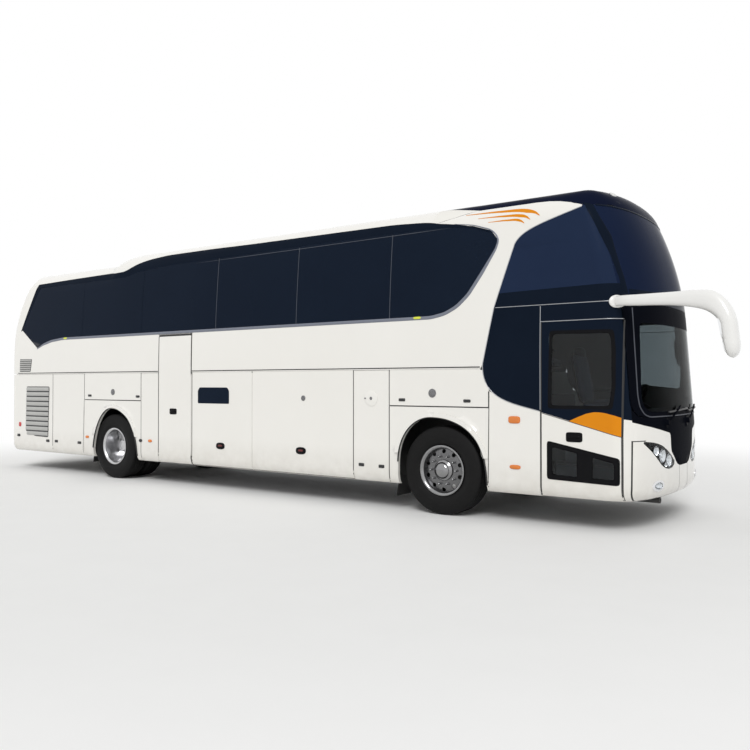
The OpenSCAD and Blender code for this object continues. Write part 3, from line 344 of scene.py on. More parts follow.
amber_lens = finish("amber_lens", (0.62, 0.15, 0.008), (0.72, 0.20, 0.014), 0.15, 0.05, 30.0, 0.3, 900,
                    Coat_Weight=0.6)
red_lens = finish("red_lens", (0.42, 0.006, 0.008), (0.55, 0.012, 0.012), 0.14, 0.05, 20.0, 0.35, 700,
                  Coat_Weight=0.7)
dull_red = finish("dull_red_reflector", (0.085, 0.008, 0.008), (0.125, 0.014, 0.012), 0.22, 0.05, 30.0, 0.3,
                  700)
green_lens = finish("yellow_green_marker", (0.62, 0.66, 0.02), (0.72, 0.76, 0.05), 0.2, 0.05, 30.0, 0.2,
                    900, Coat_Weight=0.5)
print("paint, glass and lamp finishes ready")

# %% Finishes: rubber, metal, plastic and cloth
tyre_rubber = finish("tyre_rubber", (0.0040, 0.0040, 0.0044), (0.0095, 0.0093, 0.0092), 0.62, 0.10, 14.0,
                     0.35, 240, IOR=1.25)
seal_rubber = finish("seal_rubber", (0.012, 0.012, 0.012), (0.022, 0.022, 0.022), 0.55, 0.08, 20.0, 0.2,
                     600)
alloy = finish("polished_alloy", (0.13, 0.13, 0.134), (0.21, 0.21, 0.214), 0.24, 0.07, 9.0, 0.08, 350,
               Metallic=1.0)
dish_alloy = finish("bright_dish_alloy", (0.52, 0.52, 0.53), (0.66, 0.66, 0.67), 0.24, 0.07, 9.0, 0.08, 350,
                    Metallic=1.0)
cover_chrome = finish("smoked_wheel_chrome", (0.24, 0.24, 0.245), (0.36, 0.36, 0.365), 0.14, 0.05, 12.0,
                      Metallic=1.0)
lock_steel = finish("turned_lock_steel", (0.14, 0.14, 0.145), (0.26, 0.26, 0.265), 0.28, 0.08, 60.0, 0.2,
                    600, Metallic=1.0)
chrome = finish("bright_chrome", (0.80, 0.81, 0.82), (0.88, 0.88, 0.89), 0.07, 0.03, 12.0, Metallic=1.0)
lamp_black = finish("lamp_tray_black", (0.006, 0.006, 0.007), (0.012, 0.012, 0.013), 0.35, 0.06, 20.0, 0.1,
                    500, IOR=1.2)
gloss_black = finish("gloss_black_frame", (0.004, 0.004, 0.005), (0.008, 0.008, 0.009), 0.16, 0.04, 6.0,
                     0.05, 400, IOR=1.15)
plate_white = finish("blank_plate_white", (0.66, 0.66, 0.64), (0.72, 0.72, 0.70), 0.38, 0.06, 12.0, 0.1,
                     300)
grille_grey = finish("grey_grille_paint", (0.40, 0.40, 0.385), (0.47, 0.47, 0.455), 0.45, 0.08, 8.0, 0.1,
                     400)
trim_grey = finish("dull_pane_joint", (0.060, 0.066, 0.080), (0.085, 0.092, 0.110), 0.40, 0.06, 30.0, 0.08,
                   500, IOR=1.2)
band_trim = finish("dull_band_trim", (0.150, 0.165, 0.205), (0.205, 0.220, 0.265), 0.38, 0.06, 30.0, 0.08,
                   500, Metallic=0.3)
trim_silver = finish("satin_trim", (0.36, 0.37, 0.39), (0.46, 0.47, 0.49), 0.32, 0.06, 30.0, 0.08, 500,
                     Metallic=0.7)
bright_steel = finish("brushed_steel", (0.40, 0.40, 0.41), (0.54, 0.54, 0.55), 0.30, 0.08, 25.0, 0.15, 500,
                      Metallic=1.0)
frame_steel = finish("painted_frame_steel", (0.020, 0.021, 0.022), (0.045, 0.044, 0.042), 0.50, 0.12, 6.0,
                     0.25, 160)
cast_iron = finish("cast_iron", (0.060, 0.058, 0.056), (0.12, 0.115, 0.11), 0.58, 0.12, 12.0, 0.5, 140,
                   Metallic=0.5)
dark_plastic = finish("dark_moulded_plastic", (0.012, 0.012, 0.013), (0.022, 0.022, 0.024), 0.42, 0.08, 8.0,
                      0.25, 700)
dash_plastic = finish("grey_dash_plastic", (0.030, 0.031, 0.034), (0.050, 0.051, 0.055), 0.60, 0.08, 6.0,
                      0.5, 500)
deck_vinyl = finish("speckled_floor_vinyl", (0.10, 0.10, 0.11), (0.22, 0.22, 0.23), 0.62, 0.08, 160.0, 0.2,
                    400)
lining = finish("grey_cabin_lining", (0.20, 0.20, 0.195), (0.26, 0.26, 0.25), 0.78, 0.06, 10.0, 0.4, 450)
mirror_white = finish("mirror_shell_white", (0.76, 0.755, 0.735), (0.82, 0.815, 0.795), 0.22, 0.06, 2.0,
                      0.06, 420, **LACQUER)
mirror_silver = finish("mirror_silver", (0.82, 0.83, 0.84), (0.88, 0.89, 0.90), 0.04, 0.02, 2.0,
                       Metallic=1.0)


def woven(made, scale, strength):
    """Adds a weave to a finish: two crossed wave patterns on Object coordinates, used as a bump."""
    tree, skin, place = parts_of(made)
    warp = add_node(tree, "TexWave", wave_type="BANDS", bands_direction="Y", Scale=scale)
    weft = add_node(tree, "TexWave", wave_type="BANDS", bands_direction="Z", Scale=scale)
    cross = add_node(tree, "Math", operation="MULTIPLY")
    bump = add_node(tree, "Bump", Strength=strength, Distance=0.001)
    for thread, slot in ((warp, 0), (weft, 1)):
        join(tree, place, "Object", thread, "Vector")
        join(tree, thread, "Fac", cross, slot)
    join(tree, cross, "Value", bump, "Height")
    join(tree, bump, "Normal", skin, "Normal")
    return made


seat_cloth = woven(finish("blue_grey_seat_cloth", (0.035, 0.055, 0.11), (0.065, 0.09, 0.16), 0.85, 0.06,
                          45.0, Sheen_Weight=0.3), 160.0, 0.4)
seat_trim = woven(finish("dark_seat_side_cloth", (0.018, 0.020, 0.026), (0.032, 0.035, 0.042), 0.88, 0.05,
                         45.0, Sheen_Weight=0.2), 160.0, 0.3)
print("rubber, metal, plastic and cloth finishes ready")

# %% [markdown]
# Every added piece goes through one maker. It takes whole arrays of points and faces, merges what meets,
# turns all faces outwards, shades smooth except over sharp edges, and ties the piece to the body that
# carries it. A slab is the space between two grids, which is how a thin plate or a strip is closed.

# %% Helpers: from arrays to pieces
def grid_quads(rows, cols, wrap_rows=False, wrap_cols=False):
    """Quads over a grid of rows by cols points, closed round in either direction if asked."""
    r = np.arange(rows if wrap_rows else rows - 1)[:, None]
    c = np.arange(cols if wrap_cols else cols - 1)[None, :]

    def at(i, j):
        return (i % rows) * cols + j % cols

    return np.stack([at(r, c), at(r, c + 1), at(r + 1, c + 1), at(r + 1, c)], -1).reshape(-1, 4)


def sheet_of(points, wrap_rows=False, wrap_cols=False):
    """Points of shape rows, cols, 3 as a pair of flat points and quads."""
    rows, cols = points.shape[:2]
    return points.reshape(-1, 3), grid_quads(rows, cols, wrap_rows, wrap_cols)


def slab_of(outer, inner):
    """Closed solid between two grids of the same shape: both faces and the rim."""
    rows, cols = outer.shape[:2]
    count = rows * cols
    quads = grid_quads(rows, cols)
    n = np.arange(count).reshape(rows, cols)
    rim = np.concatenate([n[0, :-1], n[:-1, -1], n[-1, :0:-1], n[:0:-1, 0]])
    after = np.roll(rim, -1)
    wall = np.stack([rim, after, after + count, rim + count], -1)
    points = np.concatenate([outer.reshape(-1, 3), inner.reshape(-1, 3)])
    return points, np.concatenate([quads, quads[:, ::-1] + count, wall])


def together(*shapes):
    """Several shapes as one set of points and faces."""
    start = np.cumsum([0] + [len(p) for p, f in shapes[:-1]])
    points = np.concatenate([p for p, f in shapes])
    return points, np.concatenate([f + s for (p, f), s in zip(shapes, start)])


def mirrored(shape):
    """The same shape on the other side of the coach."""
    return shape[0] * (1, -1, 1), shape[1][:, ::-1]


def shade(mesh, angle):
    """Smooth shading, kept sharp over edges steeper than an angle."""
    mesh.shade_smooth()
    mesh.set_sharp_from_angle(angle=math.radians(angle))


def piece(name, shape, material, body="body", stands_for=(), angle=40):
    """A closed piece made from points and faces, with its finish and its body."""
    points, faces = shape
    mesh = bpy.data.meshes.new(name)
    mesh.vertices.add(len(points))
    mesh.vertices.foreach_set("co", np.ascontiguousarray(points, np.float32).ravel())
    mesh.loops.add(faces.size)
    mesh.loops.foreach_set("vertex_index", np.ascontiguousarray(faces, np.int32).ravel())
    mesh.polygons.add(len(faces))
    mesh.polygons.foreach_set("loop_start", np.arange(0, faces.size, faces.shape[1], dtype=np.int32))
    mesh.update(calc_edges=True)
    form = bmesh.new()
    form.from_mesh(mesh)
    bmesh.ops.remove_doubles(form, verts=form.verts, dist=2e-6)
    bmesh.ops.dissolve_degenerate(form, edges=form.edges, dist=1e-6)
    bmesh.ops.recalc_face_normals(form, faces=form.faces)
    form.to_mesh(mesh)
    form.free()
    shade(mesh, angle)
    made = bpy.data.objects.new(name, mesh)
    scene.collection.objects.link(made)
    mesh.materials.append(material)
    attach(made, body)
    if stands_for:
        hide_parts(*stands_for)
    return made


print("array helpers ready")

# %% [markdown]
# The frame's outer panels are true in their corners but flat between them, as any drawing with few facets
# is. Their copies are divided until no edge is long, and then every point is put back on the body formula
# at its own share of the half width. The result is as round as the real panel, and it keeps each cut-out.

# %% Helpers: fine copies of the outer panels
def ring_share(x, y, z):
    """How far out a point lies: 1 on the body surface, less inside. In the straight part it is |y| over
    the half width, and at the ends the superellipse norm of the distances along and across."""
    across = np.abs(y) / side_w(x, z)
    ahead = np.maximum(x - nose(z) + NOSE_DEPTH, 0) / NOSE_DEPTH
    behind = np.maximum(tail(z) + TAIL_DEPTH - x, 0) / TAIL_DEPTH
    at_nose = (ahead ** NOSE_POWER + across ** NOSE_POWER) ** (1 / NOSE_POWER)
    at_tail = (behind ** TAIL_POWER + across ** TAIL_POWER) ** (1 / TAIL_POWER)
    return np.where(ahead > 0, at_nose, np.where(behind > 0, at_tail, across))


def put_on_ring(p, share):
    """Moves points in or out, across the body or towards the ends, until they have a given share."""
    x, y, z = p.T
    k = share / np.maximum(ring_share(x, y, z), 1e-6)
    front, back = nose(z) - NOSE_DEPTH, tail(z) + TAIL_DEPTH
    moved = np.where(x > front, front + (x - front) * k, np.where(x < back, back + (x - back) * k, x))
    return np.stack([moved, y * k, z], -1)


def points_of(form):
    """All points of a bmesh as one array."""
    return np.array([v.co[:] for v in form.verts])


LONGEST = 0.10
SNAP_SIDE, SNAP_END = 0.003, 0.009  # points this close to the surface are put on it


def divide(form, kind, stretch):
    """Halves every edge that is too long, again and again, and keeps all faces triangles. The straight
    middle of the body bends only with height, so there a length along the body counts for a share of
    itself."""
    for _ in range(9):
        ends = np.array([(*e.verts[0].co, *e.verts[1].co) for e in form.edges]).reshape(-1, 2, 3)
        middle = ends.mean(1)
        x, z = middle[:, 0] - AXLE, middle[:, 2]
        span = ends[:, 1] - ends[:, 0]
        if kind == "ring":
            straight_part = (x < nose(z) - NOSE_DEPTH - 0.1) & (x > tail(z) + TAIL_DEPTH + 0.1)
            span[:, 0] *= np.where(straight_part, stretch, 1.0)
        else:
            span[:, 0] *= 0.5
        form.edges.ensure_lookup_table()
        long = [form.edges[i] for i in np.flatnonzero(np.linalg.norm(span, axis=1) > LONGEST)]
        if not long:
            break
        bmesh.ops.subdivide_edges(form, edges=long, cuts=1)
        bmesh.ops.triangulate(form, faces=form.faces)


def fine_copy(node, material, kind, angle, stretch):
    """A divided copy of a panel, put back on the body surface, which stands for the panel."""
    source = frame["nodes"][node]
    form = bmesh.new()
    form.from_mesh(source.data)
    bmesh.ops.remove_doubles(form, verts=form.verts, dist=2e-5)
    form.normal_update()
    p = points_of(form) - (AXLE, 0, 0)
    if kind == "ring":
        value = ring_share(*p.T)
        away = np.sign(p) * (0.8, 0.8, 0.0)
        away[(p[:, 0] > -9) & (p[:, 0] < 2), 0] = 0.0
        outward = np.array([max((f.normal.dot(d) for f in v.link_faces), default=0)
                            for v, d in zip(form.verts, away)])
        ends = ((p[:, 0] > nose(p[:, 2]) - NOSE_DEPTH + 0.002)
                | (p[:, 0] < tail(p[:, 2]) + TAIL_DEPTH - 0.002))
        short = (1 - value) * np.where(ends, 0.6, 1.25)
        value[(outward > 0.3) & (short > 0) & (short < np.where(ends, SNAP_END, SNAP_SIDE))] = 1.0
    else:
        value = roof_z(p[:, 0], p[:, 1]) - p[:, 2]
    layer = form.verts.layers.float.new("share")
    for v, s in zip(form.verts, value):
        v[layer] = s
    divide(form, kind, stretch)
    p = points_of(form) - (AXLE, 0, 0)
    value = np.array([v[layer] for v in form.verts])
    if kind == "ring":
        p = put_on_ring(p, value)
    else:
        p[:, 2] = roof_z(p[:, 0], p[:, 1]) - value
    form.verts.layers.float.remove(layer)
    mesh = bpy.data.meshes.new(node + "_skin")
    form.to_mesh(mesh)
    form.free()
    mesh.vertices.foreach_set("co", np.ascontiguousarray(p + (AXLE, 0, 0), np.float32).ravel())
    mesh.update()
    shade(mesh, angle)
    made = bpy.data.objects.new(node + "_skin", mesh)
    scene.collection.objects.link(made)
    mesh.materials.append(material)
    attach(made, source["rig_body"])
    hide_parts(node)
    return made


print("panel helper ready")

# %% Outer panels and panes
SIDE_LEAVES = ("flap_bay1", "flap_bay2", "hatch_front", "hatch_rear")
MOVING = SIDE_LEAVES + ("middle_door", "engine_lid")
PANELS = [  # panel, finish, slot
    ("side_wall_right", white_paint, "white_paint"), ("side_wall_left", white_paint, "white_paint"),
    ("windows_right", tint_glass, "tinted_glass"), ("windows_left", tint_glass, "tinted_glass"),
    ("skirt_right", white_paint, "white_paint"), ("skirt_left", white_paint, "white_paint"),
    ("front_frame_right", black_paint, "black_paint"), ("front_frame_left", black_paint, "black_paint"),
    # The quarter panes and the upper windscreen take the glass with painted sky reflection.
    ("cab_glass", upper_glass_painted_sky, "tinted_glass"), ("windscreen_lower", screen_glass, "clear_glass"),
    ("windscreen_upper", front_glass_painted_sky, "tinted_glass"), ("front_mask", mask_black, "black_paint"),
    ("front_bumper", white_paint, "white_paint"), ("headlamps", lamp_glass, "lamp_lens"),
    ("roof", white_paint, "white_paint"), ("roof_cap", cap_paint, "black_paint"),
    ("rear_panel", white_paint, "white_paint"), ("rear_window", tint_glass, "tinted_glass"),
    ("tail_lamps", red_lens, "red_lens"), ("engine_lid", white_paint, "white_paint"),
    ("front_door", door_paint, "white_paint"), ("front_door_glass", door_glass, "tinted_glass"),
    ("middle_door", white_paint, "white_paint"),
] + [(f"{leaf}_{side}", white_paint, "white_paint") for leaf in SIDE_LEAVES for side in ("right", "left")]
skins = {}
for node, material, slot in PANELS:
    kind = "roof" if node.startswith("roof") else "ring"
    angle = 12 if node.startswith(MOVING) else 28
    stretch = 1.0 if node.startswith("skirt") else 0.10
    skins[node] = fine_copy(node, material, kind, angle, stretch)
print("fine panels:", len(skins), "with", sum(len(s.data.polygons) for s in skins.values()), "triangles")

# %% Finishes on the inner frame nodes
PLAIN = {
    "floor": deck_vinyl, "underframe": frame_steel, "engine": cast_iron, "dashboard": dash_plastic,
    "seats": seat_cloth, "front_axle": cast_iron, "rear_axle": cast_iron, "tie_rod": bright_steel,
    "door_arm": bright_steel, "mirrors": mirror_white,
}
for side in ("right", "left"):
    PLAIN |= {f"knuckle_{side}": cast_iron, f"wheel_front_{side}": alloy, f"wheel_rear_{side}": dish_alloy,
              f"tyre_front_{side}": tyre_rubber, f"tyre_rear_{side}": tyre_rubber}
for node, material in PLAIN.items():
    held = frame["nodes"][node].data.materials
    held.clear()
    held.append(material)
print("finishes set on", len(PLAIN), "nodes")

# %% [markdown]
# Locks, lamps, handles and small windows are low plates that follow the panel they sit on. Trim and stripes
# are strips carried along a line. Both are written once, as functions over (a, b) on any of the surfaces
# above, so the same helper dresses the sides, the front, the back and the roof.

# %% Helpers: plates and strips on a surface
def oval(a, b, half_a, half_b, power=4.0, count=48):
    """Superellipse outline |a|^n + |b|^n = 1 round a centre."""
    t = np.linspace(0, 2 * np.pi, count, endpoint=False)
    reach = (np.abs(np.cos(t)) ** power + np.abs(np.sin(t)) ** power) ** (-1 / power)
    return np.stack([a + half_a * reach * np.cos(t), b + half_b * reach * np.sin(t)], -1)


def patch(surface, outline, centre, lift=0.004, dome=0.0, sink=0.006, rings=7):
    """Low plate: rings from a centre to an outline, raised by a lift that falls off at the rim and by a
    dome that falls with the square of the radius, and closed underneath."""
    r = np.linspace(0, 1, rings)[:, None]
    da, db = (outline - centre).T
    top = surface(centre[0] + r * da, centre[1] + r * db, lift * (1 - 0.4 * r ** 8) + dome * (1 - r ** 2)
                  + 0 * da)
    under = [surface(centre[0] + k * da, centre[1] + k * db, -sink + 0 * da)[None] for k in (1, 0)]
    return sheet_of(np.concatenate([top, *under]), wrap_cols=True)


def plate(surface, a, b, half_a, half_b, power=4.0, lift=0.004, dome=0.0, sink=0.006, rings=7, spokes=48):
    """Patch with a superellipse outline."""
    return patch(surface, oval(a, b, half_a, half_b, power, spokes), (a, b), lift, dome, sink, rings)


def border(surface, outer, inner, lift=0.001, sink=0.003, rings=5):
    """Flat frame between two outlines with the same count of points: a top from the inner to the outer one,
    and a foot below it."""
    k = np.linspace(0, 1, rings)[:, None, None]
    top = inner + (outer - inner) * k
    high = surface(top[..., 0], top[..., 1], lift + 0 * top[..., 0])
    low = surface(top[::-1, :, 0][[0, -1]], top[::-1, :, 1][[0, -1]], -sink + 0 * top[:2, :, 0])
    return sheet_of(np.concatenate([high, low]), wrap_rows=True, wrap_cols=True)


def strip(surface, line, width, lift=0.004, sink=0.004, closed=False):
    """Trim strip: at each point of a line of (a, b), a flat-rounded section lies across the line. Its top
    falls off with the fourth power towards both edges, and its foot is sunk in the panel."""
    line = np.asarray(line, float)
    ahead = np.roll(line, -1, 0) - np.roll(line, 1, 0) if closed else np.gradient(line, axis=0)
    normal = np.stack([-ahead[:, 1], ahead[:, 0]], -1) / np.linalg.norm(ahead, axis=1, keepdims=True)
    v = np.array([-1, -0.8, -0.4, 0, 0.4, 0.8, 1, 1, -1.0])
    high = np.where(np.arange(9) < 7, lift * (1 - 0.7 * v ** 4), -sink)
    half = np.broadcast_to(np.asarray(width, float) / 2, len(line))[:, None]
    a = line[:, :1] + normal[:, :1] * v * half
    b = line[:, 1:] + normal[:, 1:] * v * half
    body = surface(a, b, high + 0 * a)
    if not closed:
        ends = [np.repeat(body[k].mean(0)[None, None], 9, 1) for k in (0, -1)]
        body = np.concatenate([ends[0], body, ends[1]])
    return sheet_of(body, wrap_rows=closed, wrap_cols=True)


def smooth_line(points, count=60):
    """Curve through points, by a cubic between each pair whose slopes come from the neighbours."""
    p = np.asarray(points, float)
    step = np.r_[0, np.cumsum(np.linalg.norm(np.diff(p, axis=0), axis=1))]
    slope = np.gradient(p, step, axis=0)
    s = np.linspace(0, step[-1], count)
    i = np.clip(np.searchsorted(step, s, "right") - 1, 0, len(p) - 2)
    h = (step[i + 1] - step[i])[:, None]
    t = (s - step[i])[:, None] / h
    return ((2 * t ** 3 - 3 * t ** 2 + 1) * p[i] + (t ** 3 - 2 * t ** 2 + t) * h * slope[i]
            + (3 * t ** 2 - 2 * t ** 3) * p[i + 1] + (t ** 3 - t ** 2) * h * slope[i + 1])


def rounded(points, count, soft, closed=False):
    """Line of straight runs sampled evenly, with its corners rounded by averaging neighbours."""
    p = np.asarray(points, float)
    p = np.vstack([p, p[:1]]) if closed else p
    step = np.r_[0, np.cumsum(np.linalg.norm(np.diff(p, axis=0), axis=1))]
    s = np.linspace(0, step[-1], count, endpoint=not closed)
    line = np.stack([np.interp(s, step, p[:, k]) for k in (0, 1)], -1)
    for _ in range(soft):
        if closed:
            line = (np.roll(line, 1, 0) + 2 * line + np.roll(line, -1, 0)) / 4
        else:
            line[1:-1] = (line[:-2] + 2 * line[1:-1] + line[2:]) / 4
    return line


def bezier(a, b, c, d, count):
    """Cubic between two ends, drawn by two handles."""
    t = np.linspace(0, 1, count)[:, None]
    a, b, c, d = (np.asarray(v, float) for v in (a, b, c, d))
    return a * (1 - t) ** 3 + 3 * b * t * (1 - t) ** 2 + 3 * c * t ** 2 * (1 - t) + d * t ** 3


def straight(a, b, count=40):
    """Evenly spaced points from a to b."""
    return np.linspace(a, b, count)


SIDES = ("right", right_side), ("left", left_side)


def both_sides(maker):
    """A shape made on the right side and on the left side, as one."""
    return together(*[maker(surface) for name, surface in SIDES])


def strips(surface, lines, *section):
    """Several trim strips of one section, as one shape."""
    return together(*[strip(surface, line, *section) for line in lines])


print("plate and strip helpers ready")

# %% [markdown]
# The window band is framed below and up its slanting front end by a satin strip. Three orange flashes sweep
# over the white shoulder, and the front door carries an orange leaf under its pane. Dark seals show as
# lines round the doors and along the corner of the bumper.

# %% Trim, stripes and seams
BAND_FOOT = [(-8.390, 2.174), (-8.20, 2.245), (-7.95, 2.300), (-7.60, 2.330), (-0.13, 2.330),
             (0.06, 2.365), (0.22, 2.440), (0.37, 2.570), (0.54, 2.810), (0.70, 3.060), (0.740, 3.150),
             (0.715, 3.215), (0.640, 3.290), (0.400, 3.372), (0.150, 3.412)]
band_foot = rounded(BAND_FOOT, 460, 5)
band_foot[:, 1] -= 0.008 * (band_foot[:, 1] < 3.1)
trim_width = np.interp(np.linspace(0, 1, 460), [0, 0.03, 0.895, 0.94, 1],
                       [0.016, 0.040, 0.040, 0.016, 0.006])
piece("window_trim", both_sides(lambda side: strip(side, band_foot, trim_width, 0.006)), band_trim)
post_lines = [straight((x, 2.345), (x, 3.375), 50) for x in (-3.79, -2.24, -0.72)]
cant_line = rounded([(-4.3, 3.348), (-3.7, 3.351), (-2.2, 3.357), (0.10, 3.371)], 120, 5)
cant_width = np.interp(np.linspace(0, 1, 120), [0, 0.25, 0.9, 1], [0.001, 0.008, 0.008, 0.001])
piece("pane_joints", both_sides(lambda side: together(strips(side, post_lines, 0.009, 0.0015),
                                                      strip(side, cant_line, cant_width, 0.0015))),
      trim_grey)


def flash(side, points, width):
    """Orange flash: a strip that starts as a point, grows along its length and closes quickly at its
    end."""
    share = np.linspace(0, 1, 60)
    grown = np.where(share < 0.82, (share / 0.82) ** 1.2, np.clip((1 - share) / 0.18, 0, 1) ** 0.7)
    return strip(side, smooth_line(points, 60), 0.005 + width * grown, 0.0012, 0.002)


FLASHES = [([(0.275, 3.510), (0.725, 3.492), (1.052, 3.458), (1.172, 3.418), (1.220, 3.381)], 0.042),
           ([(0.455, 3.441), (0.801, 3.427), (0.977, 3.410), (1.066, 3.384), (1.110, 3.349)], 0.032),
           ([(0.593, 3.378), (0.838, 3.373), (0.968, 3.359), (1.012, 3.340), (1.041, 3.315)], 0.024)]
piece("orange_flashes", together(*[both_sides(lambda side: flash(side, *f)) for f in FLASHES]),
      orange_paint)

t = np.linspace(0, 1, 40)[None, :]
k = np.linspace(0, 1, 9)[:, None]
leaf_x = 1.585 + (2.134 - 1.585) * t + 0 * k
leaf_low = door_line(leaf_x) - 0.002
leaf_top = np.interp(leaf_x, [1.585, 1.68, 1.77, 1.85, 1.91, 1.97, 2.06, 2.134],
                     [1.149, 1.193, 1.230, 1.247, 1.247, 1.240, 1.218, 1.192])
leaf_z = leaf_low + (leaf_top - leaf_low) * k
piece("door_leaf", slab_of(right_side(leaf_x, leaf_z, 0.0012), right_side(leaf_x, leaf_z, -0.002)),
      orange_paint, "front_door")

DARK_LINES = [  # start and end of each line on the dark front, over (x, z)
    ((0.72, 2.394), (2.10, 2.394)), ((1.258, 1.262), (1.258, 2.380)), ((1.262, 2.211), (2.13, 2.211)),
]
dark_seams = [straight(*ends) for ends in DARK_LINES]
piece("front_seams", both_sides(lambda side: strips(side, dark_seams, 0.007, 0.0015)), trim_silver)
door_edges = [straight((x, 0.345), (x, 2.198)) for x in (1.2705, 2.1325)]
door_bulbs = [straight((x, 0.345), (x, 2.198)) for x in (1.2620, 2.1410)]
piece("door_seals", together(strips(right_side, door_edges, 0.011, 0.003),
                             strips(right_side, door_bulbs, 0.005, -0.001, 0.024)), seal_rubber,
      "front_door")
seam_z = np.linspace(0.958, 0.338, 60)
corner_line = np.stack([np.interp(seam_z, [0.338, 0.46, 0.958], [2.198, 2.208, 2.213]), seam_z], -1)
lamp_line = np.stack([np.linspace(-1.158, -0.99, 24), np.full(24, 0.952)], -1)
corner_seam = together(strip(right_side, corner_line, 0.012, 0.001),
                       strip(front_end, lamp_line, 0.010, 0.001))
piece("corner_seams", together(corner_seam, mirrored(corner_seam)), seal_rubber)
print("trim, stripes and seams made")

# %% [markdown]
# Above the side windows the dark glass runs on and bends over the roof's edge. The flaps and the fixed
# panels below the belt meet in narrow joints with black seals. The band is a slab between two lines on the
# body formulas, and each joint is a strip that rides on its own flap, so it opens with it.

# %% Upper band and panel joints
WINDOW_TOP = np.array([(-8.39, 3.290), (-5.98, 3.292), (-5.70, 3.340), (-5.40, 3.372), (-4.90, 3.395),
                       (-2.20, 3.422), (-0.65, 3.426), (0.0, 3.420), (0.40, 3.360), (0.64, 3.280)])
BAND_TOP = np.array([(-8.49, 3.328), (-7.36, 3.346), (-5.98, 3.362), (-5.79, 3.441), (-5.45, 3.498),
                     (-5.03, 3.530), (-4.08, 3.530), (-3.26, 3.516), (-1.21, 3.503), (-0.735, 3.500),
                     (-0.24, 3.472), (0.168, 3.408), (0.40, 3.356), (0.62, 3.282)])


def right_shoulder(a, b, lift=0.0):
    """Point on the right side over (x, z) that keeps to the roof's own arc above its rim."""
    p = right_side(a, b, lift)
    over = p[..., 2] > eaves(a) + rim_h(a)
    p[..., 2] = np.where(over, np.maximum(roof_z(a, p[..., 1] + lift), b) + lift, b)
    return p


def between(surface, low, high, rows=12, lift=0.0016, sink=0.002):
    """Thin slab on a surface between two lines of (a, b) with the same count of points."""
    k = np.linspace(0, 1, rows)[:, None, None]
    grid = low + (high - low) * k
    return slab_of(surface(grid[..., 0], grid[..., 1], lift), surface(grid[..., 0], grid[..., 1], -sink))


crest = rounded(BAND_TOP, 220, 6)
foot = np.stack([crest[:, 0], np.interp(crest[:, 0], *WINDOW_TOP.T) - 0.025], -1)
rear_edge = between(right_shoulder, straight((-8.380, 3.285), (-8.892, 2.512)),
                    straight((-8.490, 3.328), (-8.936, 2.497)), 6)
upper_band = together(between(right_shoulder, foot, crest), rear_edge)
piece("upper_band", together(upper_band, mirrored(upper_band)), black_paint)
sill = between(right_side, straight((0.708, 2.398), (2.150, 2.398), 60),
               straight((0.758, 2.552), (2.090, 2.580), 60), 8)
POST_REAR = rounded([(1.700, 3.470), (1.820, 3.251), (1.990, 2.889), (2.075, 2.640), (2.100, 2.520)], 60, 3)
POST_FRONT = rounded([(1.790, 3.440), (1.975, 3.099), (2.110, 2.643), (2.143, 2.496), (2.150, 2.440)],
                     60, 3)
post = between(right_side, POST_REAR, POST_FRONT, 8, 0.0024)
cap_line = strip(front_end, straight((-1.080, 3.440), (1.080, 3.440), 90), 0.022, 0.006, 0.010)
brow_band = between(front_end, straight((-1.050, 2.400), (1.050, 2.400), 80),
                    straight((-1.045, 2.525), (1.045, 2.525), 80), 8)
piece("quarter_pane_edges", together(sill, post, mirrored(sill), mirrored(post), brow_band, cap_line),
      black_paint)


def joints(side, line, width=0.008):
    """Black joint: a flat strip along each leg of a line of (x, z)."""
    return strips(side, [straight(a, b, 24) for a, b in zip(line, line[1:])], width, 0.0008, 0.002)


FLAP_TOP, SKIRT_FOOT, INSET = 1.711, 0.336, 0.004
for leaf in SIDE_LEAVES:
    for name, side in SIDES:
        low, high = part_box(f"{leaf}_{name}")
        x0, x1, z0 = low[0] - AXLE + INSET, high[0] - AXLE - INSET, max(low[2], SKIRT_FOOT) + INSET
        line = [(x1, FLAP_TOP), (x0, FLAP_TOP), (x0, z0), (x1, z0), (x1, FLAP_TOP)]
        if leaf == "hatch_front":
            line = [(0.540, FLAP_TOP), *line[1:4], (x1, 1.455)]
        elif leaf == "flap_bay1":
            line = line[:4]
        elif leaf == "flap_bay2":
            line = [line[1], line[0], line[3], line[2]]
        piece(f"{leaf}_joint_{name}", joints(side, line), seal_rubber, f"{leaf}_{name}")
FIXED = [[(-7.880, 1.705), (-7.885, 0.345)], [(-6.960, 1.266), (-6.990, 0.345)],
         [(-5.462, 1.266), (-5.462, 0.380)], [(-0.7135, 1.266), (-0.7135, 0.345)],
         [(0.646, 1.455), (0.632, 0.335)]]
BELT_Z, BELT_WIDTH = 1.7290, 0.018
BELT = [[(-8.99, BELT_Z), (-5.06, BELT_Z)], [(-4.285, BELT_Z), (0.530, BELT_Z)]]
fixed = both_sides(lambda side: together(*[joints(side, line, 0.010) for line in FIXED],
                                         *[joints(side, line, BELT_WIDTH) for line in BELT]))
piece("panel_joints", together(fixed, joints(left_side, [(-5.06, BELT_Z), (-4.285, BELT_Z)], BELT_WIDTH)),
      seal_rubber)
low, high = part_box("middle_door")
x0, x1 = low[0] - AXLE + 0.006, high[0] - AXLE - 0.006
leaf_seal = together(joints(right_side, [(x0, 2.270), (x0, 0.350)], 0.012),
                     joints(right_side, [(x1, 0.350), (x1, 2.270)], 0.012),
                     joints(right_side, [(x1, 2.278), (x0, 2.278)], 0.028))
piece("middle_door_seal", leaf_seal, seal_rubber, "middle_door")
BAY_PANE = rounded([(-4.148, 1.253), (-3.497, 1.253), (-3.497, 1.440), (-3.535, 1.487), (-4.110, 1.487),
                    (-4.148, 1.440)], 140, 2, closed=True)
for name, side in SIDES:
    piece(f"bay1_pane_{name}", patch(side, BAY_PANE, BAY_PANE.mean(0), 0.005), tint_glass,
          f"flap_bay1_{name}")
print("band and joints made")

